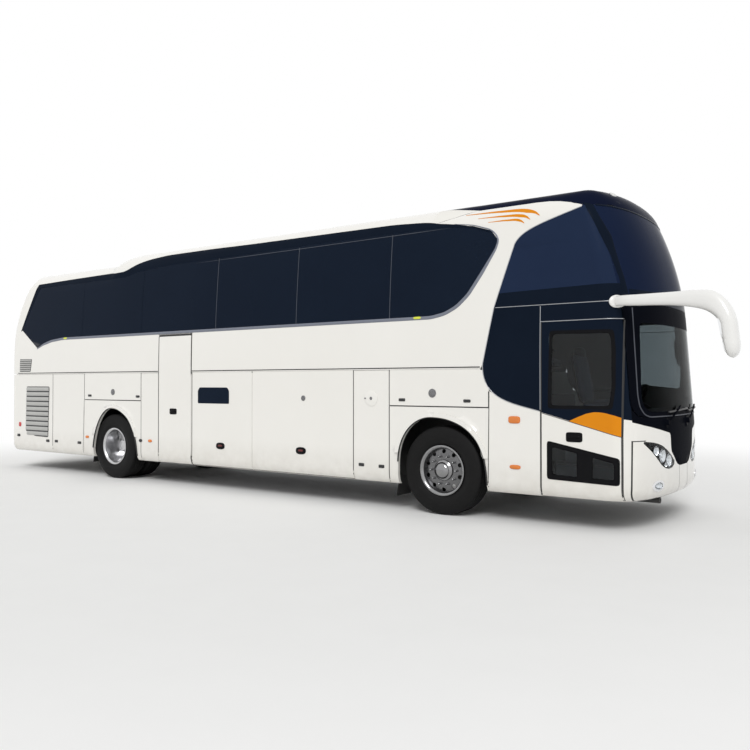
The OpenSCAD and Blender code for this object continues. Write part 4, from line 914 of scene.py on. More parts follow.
# %% [markdown]
# Each flap has its own locks and pulls, which have to swing with it. A small table lists them by body:
# place, half sizes, roundness and finish. On the left side the same fittings sit opposite, apart from those
# of the doors.

# %% Locks, pulls, fillers and side markers
FITTINGS = {  # name: bodies, finish, lift, dome, then rows of x, z, half length, half height, roundness
    "bay1_pull": ("flap_bay1", gloss_black, 0.010, 0.002, [(-3.67, 0.644, 0.086, 0.047, 2.6)]),
    "bay2_pull": ("flap_bay2", gloss_black, 0.010, 0.002, [(-2.14, 0.651, 0.086, 0.047, 2.6)]),
    "bay1_reflector": ("flap_bay1", dull_red, 0.014, 0.002, [(-3.67, 0.648, 0.048, 0.016, 3.0)]),
    "bay2_reflector": ("flap_bay2", dull_red, 0.014, 0.002, [(-2.14, 0.655, 0.048, 0.016, 3.0)]),
    "bay2_lock": ("flap_bay2", lock_steel, 0.006, 0.004, [(-2.10, 1.35, 0.036, 0.036, 2.0)]),
    "front_hatch_lock": ("hatch_front", lock_steel, 0.006, 0.004, [(-0.10, 1.43, 0.052, 0.052, 2.0)]),
    "front_hatch_pulls": ("hatch_front", dark_plastic, 0.008, 0.004,
                          [(-0.528, 1.347, 0.046, 0.018, 6.0), (0.365, 1.344, 0.046, 0.018, 6.0)]),
    "rear_hatch_lock": ("hatch_rear", lock_steel, 0.006, 0.004, [(-6.18, 1.405, 0.050, 0.050, 2.0)]),
    "rear_hatch_pulls": ("hatch_rear", dark_plastic, 0.008, 0.004,
                         [(-6.802, 1.343, 0.046, 0.018, 6.0), (-5.545, 1.339, 0.046, 0.018, 6.0)]),
    "filler_cap": ("body", white_paint, 0.007, 0.004, [(-0.99, 1.36, 0.100, 0.100, 2.0)]),
    "filler_lock": ("body", lock_steel, 0.015, 0.002, [(-0.985, 1.36, 0.022, 0.022, 2.0),
                                                       (-1.075, 1.36, 0.014, 0.010, 2.0)]),
    "service_pulls": ("body", dark_plastic, 0.008, 0.004, [
        (-1.138, 0.528, 0.042, 0.020, 6.0), (-0.83, 0.524, 0.042, 0.020, 6.0),
        (-8.03, 0.535, 0.050, 0.022, 6.0), (-7.768, 0.539, 0.046, 0.022, 6.0),
        (-7.092, 0.542, 0.050, 0.022, 6.0), (-5.47, 0.646, 0.040, 0.026, 2.0),
        (-8.96, 0.601, 0.050, 0.024, 3.0)]),
    "amber_markers": ("body", amber_lens, 0.010, 0.006, [
        (0.955, 1.145, 0.070, 0.040, 4.0), (0.965, 0.626, 0.065, 0.024, 3.0),
        (-6.87, 0.65, 0.045, 0.022, 3.0), (-5.24, 0.65, 0.045, 0.022, 3.0)]),
    "red_reflectors": ("body", red_lens, 0.008, 0.002, [(-8.92, 0.80, 0.040, 0.040, 3.0)]),
    "band_markers": ("body", green_lens, 0.008, 0.003, [(-7.531, 2.326, 0.052, 0.016, 3.0),
                                                        (-0.316, 2.328, 0.055, 0.016, 3.0)]),
}
for name, (carrier, material, lift, dome, rows) in FITTINGS.items():
    for side, surface in SIDES:
        body = carrier if carrier == "body" else f"{carrier}_{side}"
        shape = together(*[plate(surface, x, z, hx, hz, n, lift, dome) for x, z, hx, hz, n in rows])
        slot = "black_paint" if material in (dark_plastic, gloss_black) else "bright_steel"
        piece(f"{name}_{side}", shape, material, body)
piece("door_handle", together(plate(right_side, 1.640, 0.980, 0.090, 0.052, 6.0, 0.006),
                              plate(right_side, 1.640, 0.985, 0.066, 0.016, 4.0, 0.016, 0.004)),
      gloss_black, "front_door")
piece("middle_door_handle", together(plate(right_side, -4.70, 1.120, 0.080, 0.045, 6.0, 0.006),
                                     plate(right_side, -4.70, 1.124, 0.058, 0.014, 4.0, 0.015, 0.004)),
      gloss_black, "middle_door")
print("fittings made:", len(FITTINGS) * 2 + 2)

# %% [markdown]
# A road tyre is a ring with a flat crown, round shoulders and bulging side walls. Its tread has ribs parted
# by grooves round it, and each rib is cut by slanting sipes. The ring is one profile turned about the hub,
# and the tread is a formula that sinks the grooves, so no block is placed by hand.

# %% Tyres with tread
HUB_Z = TYRE_R = 0.522
WHEEL_Y, TWIN = 1.0875, 0.335
WHEELS = [(end, x, side, sign) for end, x in (("front", 0.0), ("rear", -WHEELBASE))
          for side, sign in (("right", -1), ("left", 1))]


def turned(x, y, side, radius, out):
    """Points of a turned form: radius and distance outwards along the hub, over the angle round it."""
    angle = np.linspace(0, 2 * np.pi, radius.shape[0], endpoint=False)[:, None]
    return np.stack([AXLE + x + radius * np.cos(angle), side * (y + out) + 0 * angle,
                     HUB_Z + radius * np.sin(angle)], -1)


TYRE_LINE = np.array([(0.2990, 0.112), (0.3030, 0.122), (0.3200, 0.133), (0.3500, 0.1415),
                      (0.3900, 0.1475), (0.4300, 0.1460), (0.4650, 0.1415), (0.4900, 0.1350),
                      (0.5080, 0.1270), (0.5165, 0.1190), (0.5190, 0.1100)])


def tyre_shape(x, y, side, turns):
    """Tyre: side walls through the profile points, a slightly crowned tread, four grooves 13 mm deep, and
    slanting sipes 4 mm deep across the ribs, deeper at the shoulders. The bead closes the ring inside."""
    wall = smooth_line(TYRE_LINE, 20)
    across = np.linspace(0.108, -0.108, 61)
    crown = TYRE_R - 0.0035 * (across / 0.110) ** 2
    radius = np.concatenate([wall[:, 0], crown, wall[::-1, 0], [0.2865, 0.2865]])
    out = np.concatenate([wall[:, 1], across, -wall[::-1, 1], [-0.112, 0.112]])
    angle = np.linspace(0, 2 * np.pi, turns, endpoint=False)[:, None]
    tread = np.abs(out) <= 0.1081
    groove = np.zeros_like(out)
    for g in (-0.072, -0.024, 0.024, 0.072):
        groove = np.maximum(groove, np.clip(1.6 - np.abs(out - g) / 0.0045, 0, 1))
    wave = np.sin(52 * angle + 55 * np.sign(out) * np.abs(out) * 2.2)
    sipe = np.clip((wave - 0.86) / 0.10, 0, 1) * (1 - groove)
    shoulder = np.clip((np.abs(out) - 0.082) / 0.02, 0, 1)
    sunk = np.where(tread, 0.013 * groove + sipe * (0.004 + 0.008 * shoulder), 0)
    ribs = np.where(~tread & (radius > 0.33) & (radius < 0.47),
                    0.0012 * np.clip(np.cos((radius - 0.33) * 380), 0, 1), 0)
    form = turned(x, y, side, np.broadcast_to(radius - sunk, (turns, len(radius))),
                  out + np.sign(out) * ribs)
    return sheet_of(form, wrap_rows=True, wrap_cols=True)


for end, x, side, sign in WHEELS:
    shape = tyre_shape(x, WHEEL_Y, sign, 208)
    if end == "rear":
        shape = together(shape, tyre_shape(x, WHEEL_Y - TWIN, sign, 104))
    piece(f"tread_{end}_{side}", shape, tyre_rubber, f"wheel_{end}_{side}",
          [f"tyre_{end}_{side}"], 50)
print("tyres turned")

# %% [markdown]
# Coach wheels are polished: in front a convex dish with a domed hub cap, and at the rear a deep dish with a
# flat one. The frame gives the dish and its holes. Here a hub cap and a rim lip are turned from profiles,
# and a ring of ten nut caps is added, each turned about its own axis.

# %% Wheel covers, nut caps and hub caps
def lathe(x, y, side, line, turns=96):
    """Closed form turned from a line of (radius, distance out) points that starts and ends on the axis or
    closes on itself."""
    line = np.asarray(line, float)
    radius = np.broadcast_to(line[:, 0], (turns, len(line)))
    return turned(x, y, side, radius, line[:, 1])


def nut_caps(x, y, side, base, height, count=10, ring=0.1675):
    """Ten bullet caps on the nut circle: each turned about its own axis, with a foot flange and a round
    nose."""
    s = np.linspace(0, 1, 9)
    r = np.concatenate([[0], [0.021, 0.021], 0.017 * np.sqrt(np.clip(1 - (s * 0.999) ** 3, 0, 1)), [0]])
    h = np.concatenate([[0], [0, 0.006], 0.006 + height * s, [0.006 + height]])
    turn = np.linspace(0, 2 * np.pi, 16, endpoint=False)[:, None]
    shapes = []
    for a in 2 * np.pi * np.arange(count) / count:
        cx, cz = AXLE + x + ring * np.cos(a), HUB_Z + ring * np.sin(a)
        form = np.stack([cx + r * np.cos(turn), side * (y + base + h) + 0 * turn, cz + r * np.sin(turn)],
                        -1)
        shapes.append(sheet_of(form, wrap_rows=True))
    return together(*shapes)


DOME = [(0.0, 0.160), (0.030, 0.159), (0.058, 0.154), (0.078, 0.145), (0.088, 0.132), (0.094, 0.118),
        (0.104, 0.110), (0.118, 0.106), (0.124, 0.098), (0.124, 0.088), (0.0, 0.088)]
CUP = [(0.0, -0.020), (0.050, -0.021), (0.075, -0.026), (0.092, -0.036), (0.100, -0.050), (0.112, -0.056),
       (0.118, -0.064), (0.118, -0.080), (0.0, -0.080)]
RIM_LIP = [(0.262, 0.118), (0.2745, 0.136), (0.286, 0.1405), (0.2965, 0.137), (0.299, 0.128),
           (0.292, 0.124), (0.276, 0.120), (0.266, 0.112)]
COVERS = {  # hub cap, foot of the nut caps, finish
    "front": (DOME, 0.084, cover_chrome),
    "rear": (smooth_line(CUP, 40), -0.152, dish_alloy),
}
for end, x, side, sign in WHEELS:
    cap, nut_foot, material = COVERS[end]
    shape = together(sheet_of(lathe(x, WHEEL_Y, sign, cap), wrap_rows=True),
                     sheet_of(lathe(x, WHEEL_Y, sign, RIM_LIP), wrap_rows=True, wrap_cols=True),
                     nut_caps(x, WHEEL_Y, sign, nut_foot, 0.040))
    piece(f"wheel_cover_{end}_{side}", shape, material, f"wheel_{end}_{side}")
print("wheel covers turned")

# %% [markdown]
# On the door side the mirror hangs on a long white arm like a hare's ear, and on the driver's side on a
# short neck. Either is a loft: an oval section carried along a curve that leaves the corner post and bends
# down into the head. The glass sits in the rear face.

# %% Mirror arms and heads
ARM_PATH = np.array([  # x from the front axle, distance from the middle, z, width across, depth
    (2.075, 1.224, 2.388, 0.060, 0.104), (2.160, 1.262, 2.386, 0.064, 0.108),
    (2.300, 1.285, 2.380, 0.068, 0.114), (2.500, 1.310, 2.374, 0.076, 0.122),
    (2.700, 1.325, 2.366, 0.088, 0.138), (2.880, 1.335, 2.352, 0.106, 0.170),
    (3.010, 1.338, 2.322, 0.136, 0.194), (3.100, 1.340, 2.248, 0.176, 0.176),
    (3.158, 1.340, 2.150, 0.204, 0.152), (3.184, 1.340, 2.000, 0.214, 0.146),
    (3.200, 1.340, 1.870, 0.206, 0.132), (3.203, 1.340, 1.780, 0.124, 0.062)])
NECK_PATH = np.array([
    (2.018, 1.280, 2.400, 0.060, 0.070), (2.022, 1.284, 2.360, 0.066, 0.076),
    (2.026, 1.304, 2.300, 0.090, 0.090), (2.032, 1.330, 2.240, 0.130, 0.106),
    (2.040, 1.350, 2.170, 0.170, 0.116), (2.048, 1.357, 2.050, 0.180, 0.120),
    (2.054, 1.357, 1.900, 0.180, 0.116), (2.058, 1.357, 1.800, 0.160, 0.100),
    (2.060, 1.357, 1.760, 0.090, 0.050)])


def mirror_shell(path, sides=36, count=90):
    """Loft: an oval of the local width and depth, square to the curve in the plane of the arm, with its end
    drawn to a round tip."""
    line = smooth_line(path, count)
    ahead = np.gradient(line[:, [0, 2]], axis=0)
    ahead /= np.linalg.norm(ahead, axis=1, keepdims=True)
    up = np.stack([-ahead[:, 1], ahead[:, 0]], -1)
    s = np.linspace(0, 1, count)
    tip = np.sqrt(np.clip(1 - np.clip((s - 0.955) / 0.045, 0, 1) ** 2, 0, 1))
    a = np.linspace(0, 2 * np.pi, sides, endpoint=False)
    c = np.sign(np.cos(a)) * np.abs(np.cos(a)) ** 0.8
    d = np.sign(np.sin(a)) * np.abs(np.sin(a)) ** 0.8
    deep = line[:, 4:5] / 2 * tip[:, None] * d
    x = AXLE + line[:, :1] + up[:, :1] * deep
    y = -line[:, 1:2] + line[:, 3:4] / 2 * tip[:, None] * c
    z = line[:, 2:3] + up[:, 1:] * deep
    form = np.stack([x, y, z], -1)
    foot = np.repeat(form[:1].mean(1, keepdims=True), sides, 1)
    head = np.repeat(form[-1:].mean(1, keepdims=True), sides, 1)
    return sheet_of(np.concatenate([foot, form, head]), wrap_cols=True)


roots = [plate(side, x, 2.388, 0.066, 0.066, 2.0, 0.034, 0.006, 0.0)
         for side, x in ((right_side, 2.075), (left_side, 2.018))]
piece("mirror_arms", together(mirror_shell(ARM_PATH), mirrored(mirror_shell(NECK_PATH)), *roots),
      mirror_white, stands_for=["mirrors"])


def mirror_pane(y, z, half_y, half_z, rear, power=4.0):
    """Mirror glass: a superellipse pane with a slight bulge on the rear face of the head, whose x is given
    over z."""
    t = np.linspace(0, 2 * np.pi, 48, endpoint=False)
    r = np.linspace(0, 1, 6)[:, None]
    reach = (np.abs(np.cos(t)) ** power + np.abs(np.sin(t)) ** power) ** (-1 / power)
    py, pz = y + r * half_y * reach * np.cos(t), z + r * half_z * reach * np.sin(t)
    px = np.interp(pz, *zip(*rear)) - 0.006 + 0.004 * r ** 2 + 0 * t
    back = px[-1:] + 0.030
    form = np.stack([np.concatenate([px, back, back]) + AXLE, np.concatenate([py, py[-1:], 0 * py[:1] + y]),
                     np.concatenate([pz, pz[-1:], 0 * pz[:1] + z])], -1)
    return sheet_of(form, wrap_cols=True)


ARM_REAR = [(1.80, 3.165), (1.87, 3.135), (2.00, 3.112), (2.15, 3.084), (2.25, 3.030)]
NECK_REAR = [(1.78, 2.020), (1.80, 2.008), (1.90, 1.996), (2.05, 1.988), (2.17, 1.982)]
panes = together(mirror_pane(-1.340, 2.065, 0.076, 0.105, ARM_REAR),
                 mirror_pane(-1.340, 1.885, 0.066, 0.056, ARM_REAR),
                 mirror_pane(1.357, 1.985, 0.072, 0.135, NECK_REAR))
piece("mirror_glass", panes, mirror_silver)
print("mirrors lofted")

# %% [markdown]
# The lower windscreen is bonded behind a dull grey seal and has a wide black edge baked on to hide the
# glue. Both are flat frames and strips on the front surface. The driver's side pane is lighter, so its
# faces get another finish than the dark quarter panes that belong to the same frame node.

# %% Windscreen edge, seal and driver's pane
def whole(half):
    """Points of a half outline on the right, followed by their mirror images."""
    return half + [(-y, z) for y, z in half[::-1]]


SCREEN = rounded(whole([(-1.150, 2.345), (-1.152, 1.400), (-1.135, 1.285), (-1.08, 1.215), (-0.98, 1.199)]),
                 260, 1, closed=True)
CLEAR = rounded(whole([(-0.945, 2.180), (-1.012, 1.400), (-0.990, 1.310), (-0.930, 1.262), (-0.84, 1.245)]),
                260, 6, closed=True)
piece("screen_edge", border(front_end, SCREEN, CLEAR, 0.0012, 0.002), mask_black)
half_seal = [(-1.036, 2.330), (-1.048, 2.000), (-1.062, 1.420), (-1.045, 1.300), (-0.985, 1.222),
             (-0.900, 1.196), (0.0, 1.194)]
seal_line = rounded(half_seal + [(-y, z) for y, z in half_seal[-2::-1]], 300, 6)
piece("screen_seal", strip(front_end, seal_line, 0.013, 0.006, 0.002), trim_grey)
pane = skins["cab_glass"].data
pane.materials.append(door_glass)
centres = np.empty(len(pane.polygons) * 3, np.float32)
pane.polygons.foreach_get("center", centres)
centres = centres.reshape(-1, 3)
driver_pane = (centres[:, 1] > 0) & (centres[:, 2] < 2.38)
pane.polygons.foreach_set("material_index", driver_pane.astype(np.int32))
blades = [straight((y + 0.02, 1.236), (y + 0.72, 1.262), 30) for y in (-0.52, 0.22)]
piece("wiper_blades", strips(front_end, blades, 0.020, 0.026, -0.006), dark_plastic)
print("windscreen dressed; faces of the side pane:", int(driver_pane.sum()))

# %% [markdown]
# A headlamp is a deep dark tray with bright bowls behind a clear cover that follows the bumper. Tray, bowls
# and cover are all patches over the same outline, at different depths, so the cover meets the bumper
# exactly. The fog lamps low in the corners are made the same way with an oval outline.

# %% Headlamps and fog lamps
LAMP_CURVES = [bezier((-1.015, 0.945), (-0.800, 0.928), (-0.620, 0.915), (-0.335, 0.705), 24),
               bezier((-0.345, 0.670), (-0.420, 0.610), (-0.560, 0.625), (-0.640, 0.660), 16),
               bezier((-0.700, 0.690), (-0.830, 0.800), (-0.930, 0.860), (-1.020, 0.925), 20)]
LAMP = rounded(np.concatenate(LAMP_CURVES), 120, 1, closed=True)
MID = np.array((-0.590, 0.765))
FOG = oval(-0.760, 0.470, 0.105, 0.048, 2.0, 60)
FOG_MID = np.array((-0.760, 0.470))


def drawn_to(outline, mid, share):
    """Outline drawn towards its middle."""
    return mid + (outline - mid) * share


def pair(shape):
    """A shape and its mirror image."""
    return together(shape, mirrored(shape))


covers = together(patch(front_end, drawn_to(LAMP, MID, 0.995), MID, 0.0, 0.004, 0.004),
                  patch(front_end, drawn_to(FOG, FOG_MID, 0.99), FOG_MID, 0.0, 0.003, 0.004))
piece("lamp_covers", pair(covers), lamp_glass, stands_for=["headlamps"])
trays = together(patch(front_end, LAMP, MID, -0.046, 0.0, 0.056),
                 patch(front_end, FOG, FOG_MID, -0.040, 0.0, 0.050),
                 border(front_end, LAMP, drawn_to(LAMP, MID, 0.86), -0.008, 0.046))
piece("lamp_trays", pair(trays), lamp_black)
BOWLS = [(-0.800, 0.838, 0.052), (-0.662, 0.782, 0.074), (-0.500, 0.722, 0.074), (-0.585, 0.672, 0.034),
         (-0.420, 0.668, 0.036)]
bowls = [plate(front_end, y, z, r, r, 2.0, -0.010, -0.026, 0.044, 8, 40) for y, z, r in BOWLS]
bulbs = [plate(front_end, y, z, r * 0.34, r * 0.34, 2.0, -0.026, 0.014, 0.040, 6, 24) for y, z, r in BOWLS]
fog_rim = border(front_end, oval(-0.760, 0.470, 0.122, 0.060, 2.0, 60), drawn_to(FOG, FOG_MID, 0.80), 0.005,
                 0.004)
fog_bowl = plate(front_end, -0.760, 0.470, 0.084, 0.038, 2.0, -0.008, -0.022, 0.040, 8, 40)
piece("lamp_bowls", pair(together(*bowls, *bulbs, fog_rim, fog_bowl)), chrome)
bumper_seams = [straight((y, 0.345), (y, 0.655), 30) for y in (-0.165, 0.165)]
piece("bumper_seams", strips(front_end, bumper_seams, 0.006, 0.0008), seal_rubber)
print("lamps made")

# %% [markdown]
# The door's lower pane sits in a broad black frame with rounded corners and a bar across it, and the upper
# pane has a narrow black edge. The joint between the dark front and the white skirt carries a thin pale
# bead.

# %% Door frames, step edges and front bead
LOW_OUT = rounded([(1.336, 0.522), (2.116, 0.500), (2.116, 0.778), (1.336, 0.934)], 160, 5, closed=True)
LOW_IN = rounded([(1.392, 0.574), (2.060, 0.556), (2.060, 0.728), (1.392, 0.868)], 160, 5, closed=True)
HIGH_OUT = rounded([(1.346, 1.276), (2.046, 1.276), (2.074, 1.500), (2.072, 1.900), (2.052, 2.100),
                    (1.366, 2.110)], 160, 3, closed=True)
HIGH_IN = rounded([(1.386, 1.312), (2.012, 1.312), (2.036, 1.500), (2.034, 1.900), (2.016, 2.062),
                   (1.398, 2.070)], 160, 4, closed=True)
cross_bar = strip(right_side, straight((1.752, 0.545), (1.752, 0.828), 20), 0.170, 0.002)
piece("door_frames", together(border(right_side, LOW_OUT, LOW_IN, 0.003),
                              border(right_side, HIGH_OUT, HIGH_IN, 0.0015), cross_bar),
      gloss_black, "front_door")
swoosh = bezier((1.257, 1.243), (0.900, 1.330), (0.545, 1.370), (0.565, 1.770), 60)
post_edge = rounded([(0.564, 1.765), (0.700, 2.394)], 30, 0)
brow = bezier((0.929, 3.080), (1.000, 3.260), (1.330, 3.310), (1.690, 3.425), 50)
shoulder_edge = rounded([(0.702, 2.400), (0.929, 3.078)], 30, 0)
beads = [swoosh, post_edge, shoulder_edge, brow]
piece("front_beads", both_sides(lambda side: strips(side, beads, 0.009, 0.0025)), trim_silver)
line_x = np.linspace(1.28, 2.134, 40)
leaf_line = np.stack([line_x, door_line(line_x) - 0.006], -1)
piece("door_leaf_line", strip(right_side, leaf_line, 0.007, 0.0016), seal_rubber, "front_door")
print("door frames and beads made")

# %% [markdown]
# Round each wheel arch runs a rubber edge, and behind the wheels hang rubber flaps. The back corner has a
# grille of slats with a small vent above; the slats are strips laid over a dark sheet, which is painted
# shade standing in for the shaded openings between them.

# %% Arch lips, mud flaps, grille and vents
FRONT_ARCH = np.concatenate([bezier((-0.585, 0.600), (-0.580, 0.920), (-0.370, 1.145), (-0.110, 1.145), 30),
                             bezier((-0.060, 1.143), (0.150, 1.138), (0.300, 1.060), (0.380, 1.000), 20),
                             bezier((0.420, 0.965), (0.560, 0.840), (0.612, 0.640), (0.620, 0.400), 24)])
REAR_ARCH = np.concatenate([bezier((-0.500, 0.480), (-0.460, 0.860), (-0.230, 1.140), (-0.030, 1.140), 30),
                            bezier((0.020, 1.140), (0.180, 1.135), (0.300, 1.060), (0.400, 0.990), 20),
                            bezier((0.440, 0.950), (0.560, 0.800), (0.630, 0.640), (0.650, 0.400), 24)])
REAR_ARCH = REAR_ARCH - (WHEELBASE, 0)


def arch_lip(side, line):
    """Rubber edge round the wheel arch, just outside its cut."""
    return strip(side, rounded(line, 120, 4), 0.014, 0.018, -0.001)


arch_edges = both_sides(lambda side: together(arch_lip(side, FRONT_ARCH), arch_lip(side, REAR_ARCH)))
piece("arch_edges", arch_edges, seal_rubber)


def flap_sheet(x, y0, y1, z0, z1):
    """Rubber sheet across the wheel track, 8 mm thick, curling back a little towards its foot."""
    y = np.linspace(y0, y1, 14)[None, :]
    z = np.linspace(z1, z0, 16)[:, None]
    curl = 0.035 * ((z1 - z) / (z1 - z0)) ** 2
    front = np.stack(np.broadcast_arrays(AXLE + x - curl, y, z), -1)
    return slab_of(front, front - (0.008, 0, 0))


piece("mud_flaps", pair(together(flap_sheet(-0.610, -1.215, -0.90, 0.17, 0.42),
                                 flap_sheet(-WHEELBASE - 0.640, -1.150, -0.62, 0.22, 0.46))),
      seal_rubber)

GRILLE = rounded([(-8.732, 0.690), (-8.420, 0.602), (-8.020, 0.596), (-7.985, 1.491), (-8.706, 1.491)],
                 160, 2, closed=True)
VENT = rounded([(-8.940, 1.757), (-8.585, 1.757), (-8.545, 1.985), (-8.935, 1.988)], 120, 2, closed=True)


def inner_run(ring, z, inset):
    """Left and right end of a level line across an outline, drawn in by an inset."""
    near = ring[np.argsort(np.abs(ring[:, 1] - z))[:14], 0]
    return near.min() + inset, near.max() - inset


def louvre(side, ring, count, low, pitch, width, lift):
    """Rows of slats: each is a strip along the coach between the outline's two sides."""
    levels = low + pitch * np.arange(count)
    runs = [inner_run(ring, z, 0.012) for z in levels]
    lines = [straight((a, z), (b, z), 24) for (a, b), z in zip(runs, levels)]
    return strips(side, lines, width, lift, 0.002)


def painted_shade_back(side, ring):
    """Dark sheet behind a grille, just proud of the panel: painted shade in place of the shaded openings
    between the slats.
    """
    return patch(side, ring, ring.mean(0), 0.0022, 0.0, 0.004)


# The dark sheets under the grille and the vent are painted shade for their openings.
piece("grille_painted_shade_backs", both_sides(lambda side: together(painted_shade_back(side, GRILLE), painted_shade_back(side, VENT))),
      dark_plastic)
piece("rear_grilles", both_sides(lambda side: louvre(side, GRILLE, 10, 0.652, 0.0880, 0.066, 0.014)),
      grille_grey)
piece("rear_vents", both_sides(lambda side: louvre(side, VENT, 6, 1.782, 0.0365, 0.026, 0.010)),
      grille_grey)
print("arches, flaps and grilles made")

# %% [markdown]
# Inside, the walls and the ceiling are lined in grey. The lining has no thickness of its own here: the
# faces of the panels that look towards the middle of the cabin just take another finish, which is found
# from their normals.

# %% Cabin lining
def line_inside(skin, material):
    """Gives another finish to faces whose normal points to the nearest point of a line through the
    cabin."""
    mesh = skin.data
    mesh.materials.append(material)
    normal, centre = np.empty((2, len(mesh.polygons) * 3), np.float32)
    mesh.polygons.foreach_get("normal", normal)
    mesh.polygons.foreach_get("center", centre)
    normal, centre = normal.reshape(-1, 3), centre.reshape(-1, 3)
    middle = np.stack([np.clip(centre[:, 0], -5.3, 4.6), 0 * centre[:, 0], np.full(len(centre), 2.3)], -1)
    inward = ((middle - centre) * normal).sum(1) > 0.25 * np.linalg.norm(middle - centre, axis=1)
    mesh.polygons.foreach_set("material_index", inward.astype(np.int32))
    return int(inward.sum())


LINED = ("side_wall_right", "side_wall_left", "roof", "roof_cap", "rear_panel", "front_frame_right",
         "front_frame_left", "middle_door")
print("lined faces:", sum(line_inside(skins[node], lining) for node in LINED))

# %% [markdown]
# Coach seats stand in pairs, each on its own leg. A cushion is a superellipsoid whose top is crowned, whose
# sides pull in between the corners, and whose face is parted by sewn channels. One seat is worked out once,
# and planted at every place by adding offsets, because all rows are alike.

# %% Helpers: padded forms
def signed_power(value, e):
    """Power of the size of a value, with its sign kept."""
    return np.sign(value) * np.abs(value) ** e


def padded_form(half, squareness, crown, pinch, channels, depth, rows, cols):
    """Superellipsoid over latitude and longitude. The upper half rises by a crown that fades to the rim,
    the sides are drawn in by a pinch that fades to the corners, and channels across it are Gaussian
    grooves."""
    u = np.linspace(-np.pi / 2, np.pi / 2, rows)[:, None]
    v = np.linspace(-np.pi, np.pi, cols, endpoint=False)[None, :]
    plan, edge = squareness
    a = signed_power(np.cos(u), edge) * signed_power(np.cos(v), plan)
    b = signed_power(np.cos(u), edge) * signed_power(np.sin(v), plan)
    c = signed_power(np.sin(u), edge) + 0 * v
    up = np.clip(c, 0, 1)
    groove = sum(np.exp(-((a - g) / 0.07) ** 2) for g in channels) if channels else 0
    height = half[2] * c + up * (crown * (1 - a ** 2) * (1 - b ** 2) - depth * groove)
    return np.stack([half[0] * a * (1 - pinch * (1 - b ** 2)), half[1] * b * (1 - pinch * (1 - a ** 2)),
                     height], -1)


def leaned(form, centre, lean):
    """Turns a form so that its top faces forward and its length runs up along a lean, and moves it to a
    centre."""
    up = np.array((-math.sin(lean), 0, math.cos(lean)))
    ahead = np.array((math.cos(lean), 0, math.sin(lean)))
    across = np.array((0, -1.0, 0))
    return np.asarray(centre) + form[..., :1] * up + form[..., 1:2] * across + form[..., 2:] * ahead


def planted(form, places):
    """One closed form repeated at every place."""
    points, faces = sheet_of(form, wrap_cols=True)
    index = faces[None] + (np.arange(len(places)) * len(points))[:, None, None]
    return (points[None] + places[:, None]).reshape(-1, 3), index.reshape(-1, 4)


print("padded form helper ready")

# %% Seats
rows_x = AXLE + 0.120 - 0.760 * np.arange(12)
right_rows = np.delete(rows_x, [6, 7])
PLACES = np.array([(x, y, 1.400) for x in rows_x for y in (0.505, 0.955)]
                  + [(x, -y, 1.400) for x in right_rows for y in (0.505, 0.955)]
                  + [(AXLE + 1.080, 0.620, 0.840)])
SIT = padded_form((0.232, 0.208, 0.056), (0.42, 0.62), 0.026, 0.035, (-0.45, 0.15), 0.012, 15, 26)
SIT = SIT + (0.205, 0, 0.425)
BACK = padded_form((0.325, 0.204, 0.048), (0.42, 0.62), 0.020, 0.03, (-0.55, -0.1, 0.35), 0.012, 15, 26)
BACK = leaned(BACK, (-0.047, 0, 0.770), 0.180)
REST = leaned(padded_form((0.080, 0.150, 0.042), (0.60, 0.70), 0.010, 0.05, (), 0.0, 12, 20),
              (-0.098, 0, 1.098), 0.100)
SHELL = leaned(padded_form((0.330, 0.196, 0.016), (0.42, 0.60), 0.0, 0.0, (), 0.0, 9, 20),
               (-0.100, 0, 0.775), 0.180)
PAN = padded_form((0.225, 0.200, 0.020), (0.42, 0.60), 0.0, 0.0, (), 0.0, 7, 20) + (0.205, 0, 0.368)
ARM = padded_form((0.170, 0.022, 0.020), (0.55, 0.80), 0.004, 0.0, (), 0.0, 7, 12) + (0.130, 0.214, 0.610)
LEG = padded_form((0.040, 0.026, 0.190), (0.55, 0.30), 0.0, 0.0, (), 0.0, 8, 12) + (0.210, 0, 0.185)
FOOT = padded_form((0.130, 0.040, 0.016), (0.55, 0.50), 0.0, 0.0, (), 0.0, 6, 14) + (0.210, 0, 0.016)
for name, form, cloth in (("seat_cushions", SIT, seat_cloth), ("seat_backs", BACK, seat_cloth),
                          ("seat_headrests", REST, seat_trim)):
    piece(name, planted(form, PLACES), cloth, angle=60)
piece("seat_frames", together(*[planted(f, PLACES) for f in (SHELL, PAN, ARM, LEG, FOOT)]), dark_plastic,
      stands_for=["seats"], angle=50)
print("seats planted:", len(PLACES))

# %% [markdown]
# The roof carries two escape hatches with a rim, and small marker lamps look out over the front edge. The
# back has a dark seal round its pane, banded lamps, and a grip on the engine lid.

# %% Roof hatches, marker lamps and the back
HATCH_X = (-2.10, -7.40)
hatch_lids = [plate(roof_top, x, 0.0, half_x, half_y, 9.0, lift, dome, 0.004, 9, 64) for x in HATCH_X
              for half_x, half_y, lift, dome in ((0.400, 0.330, 0.030, 0.010),
                                                 (0.320, 0.250, 0.040, 0.006))]
piece("roof_hatches", together(*hatch_lids), white_paint)
hatch_rims = [border(roof_top, oval(x, 0.0, 0.425, 0.355, 9.0, 64), oval(x, 0.0, 0.396, 0.326, 9.0, 64),
                     0.008, 0.003) for x in HATCH_X]
piece("hatch_seals", together(*hatch_rims), seal_rubber)
piece("front_markers", together(*[plate(roof_top, 1.850, y, 0.030, 0.060, 3.0, 0.012, 0.008, 0.006)
                                  for y in (-0.650, 0.650)]), plate_white)
piece("rear_markers", together(*[plate(rear_end, y, 3.215, 0.060, 0.022, 3.0, 0.016, 0.006, 0.004)
                                 for y in (-0.760, 0.760)]), red_lens)
PANE_OUT = rounded([(-0.985, 2.416), (0.985, 2.416), (0.985, 2.780), (0.948, 2.980), (0.906, 3.094),
                    (-0.906, 3.094), (-0.948, 2.980), (-0.985, 2.780)], 200, 2, closed=True)
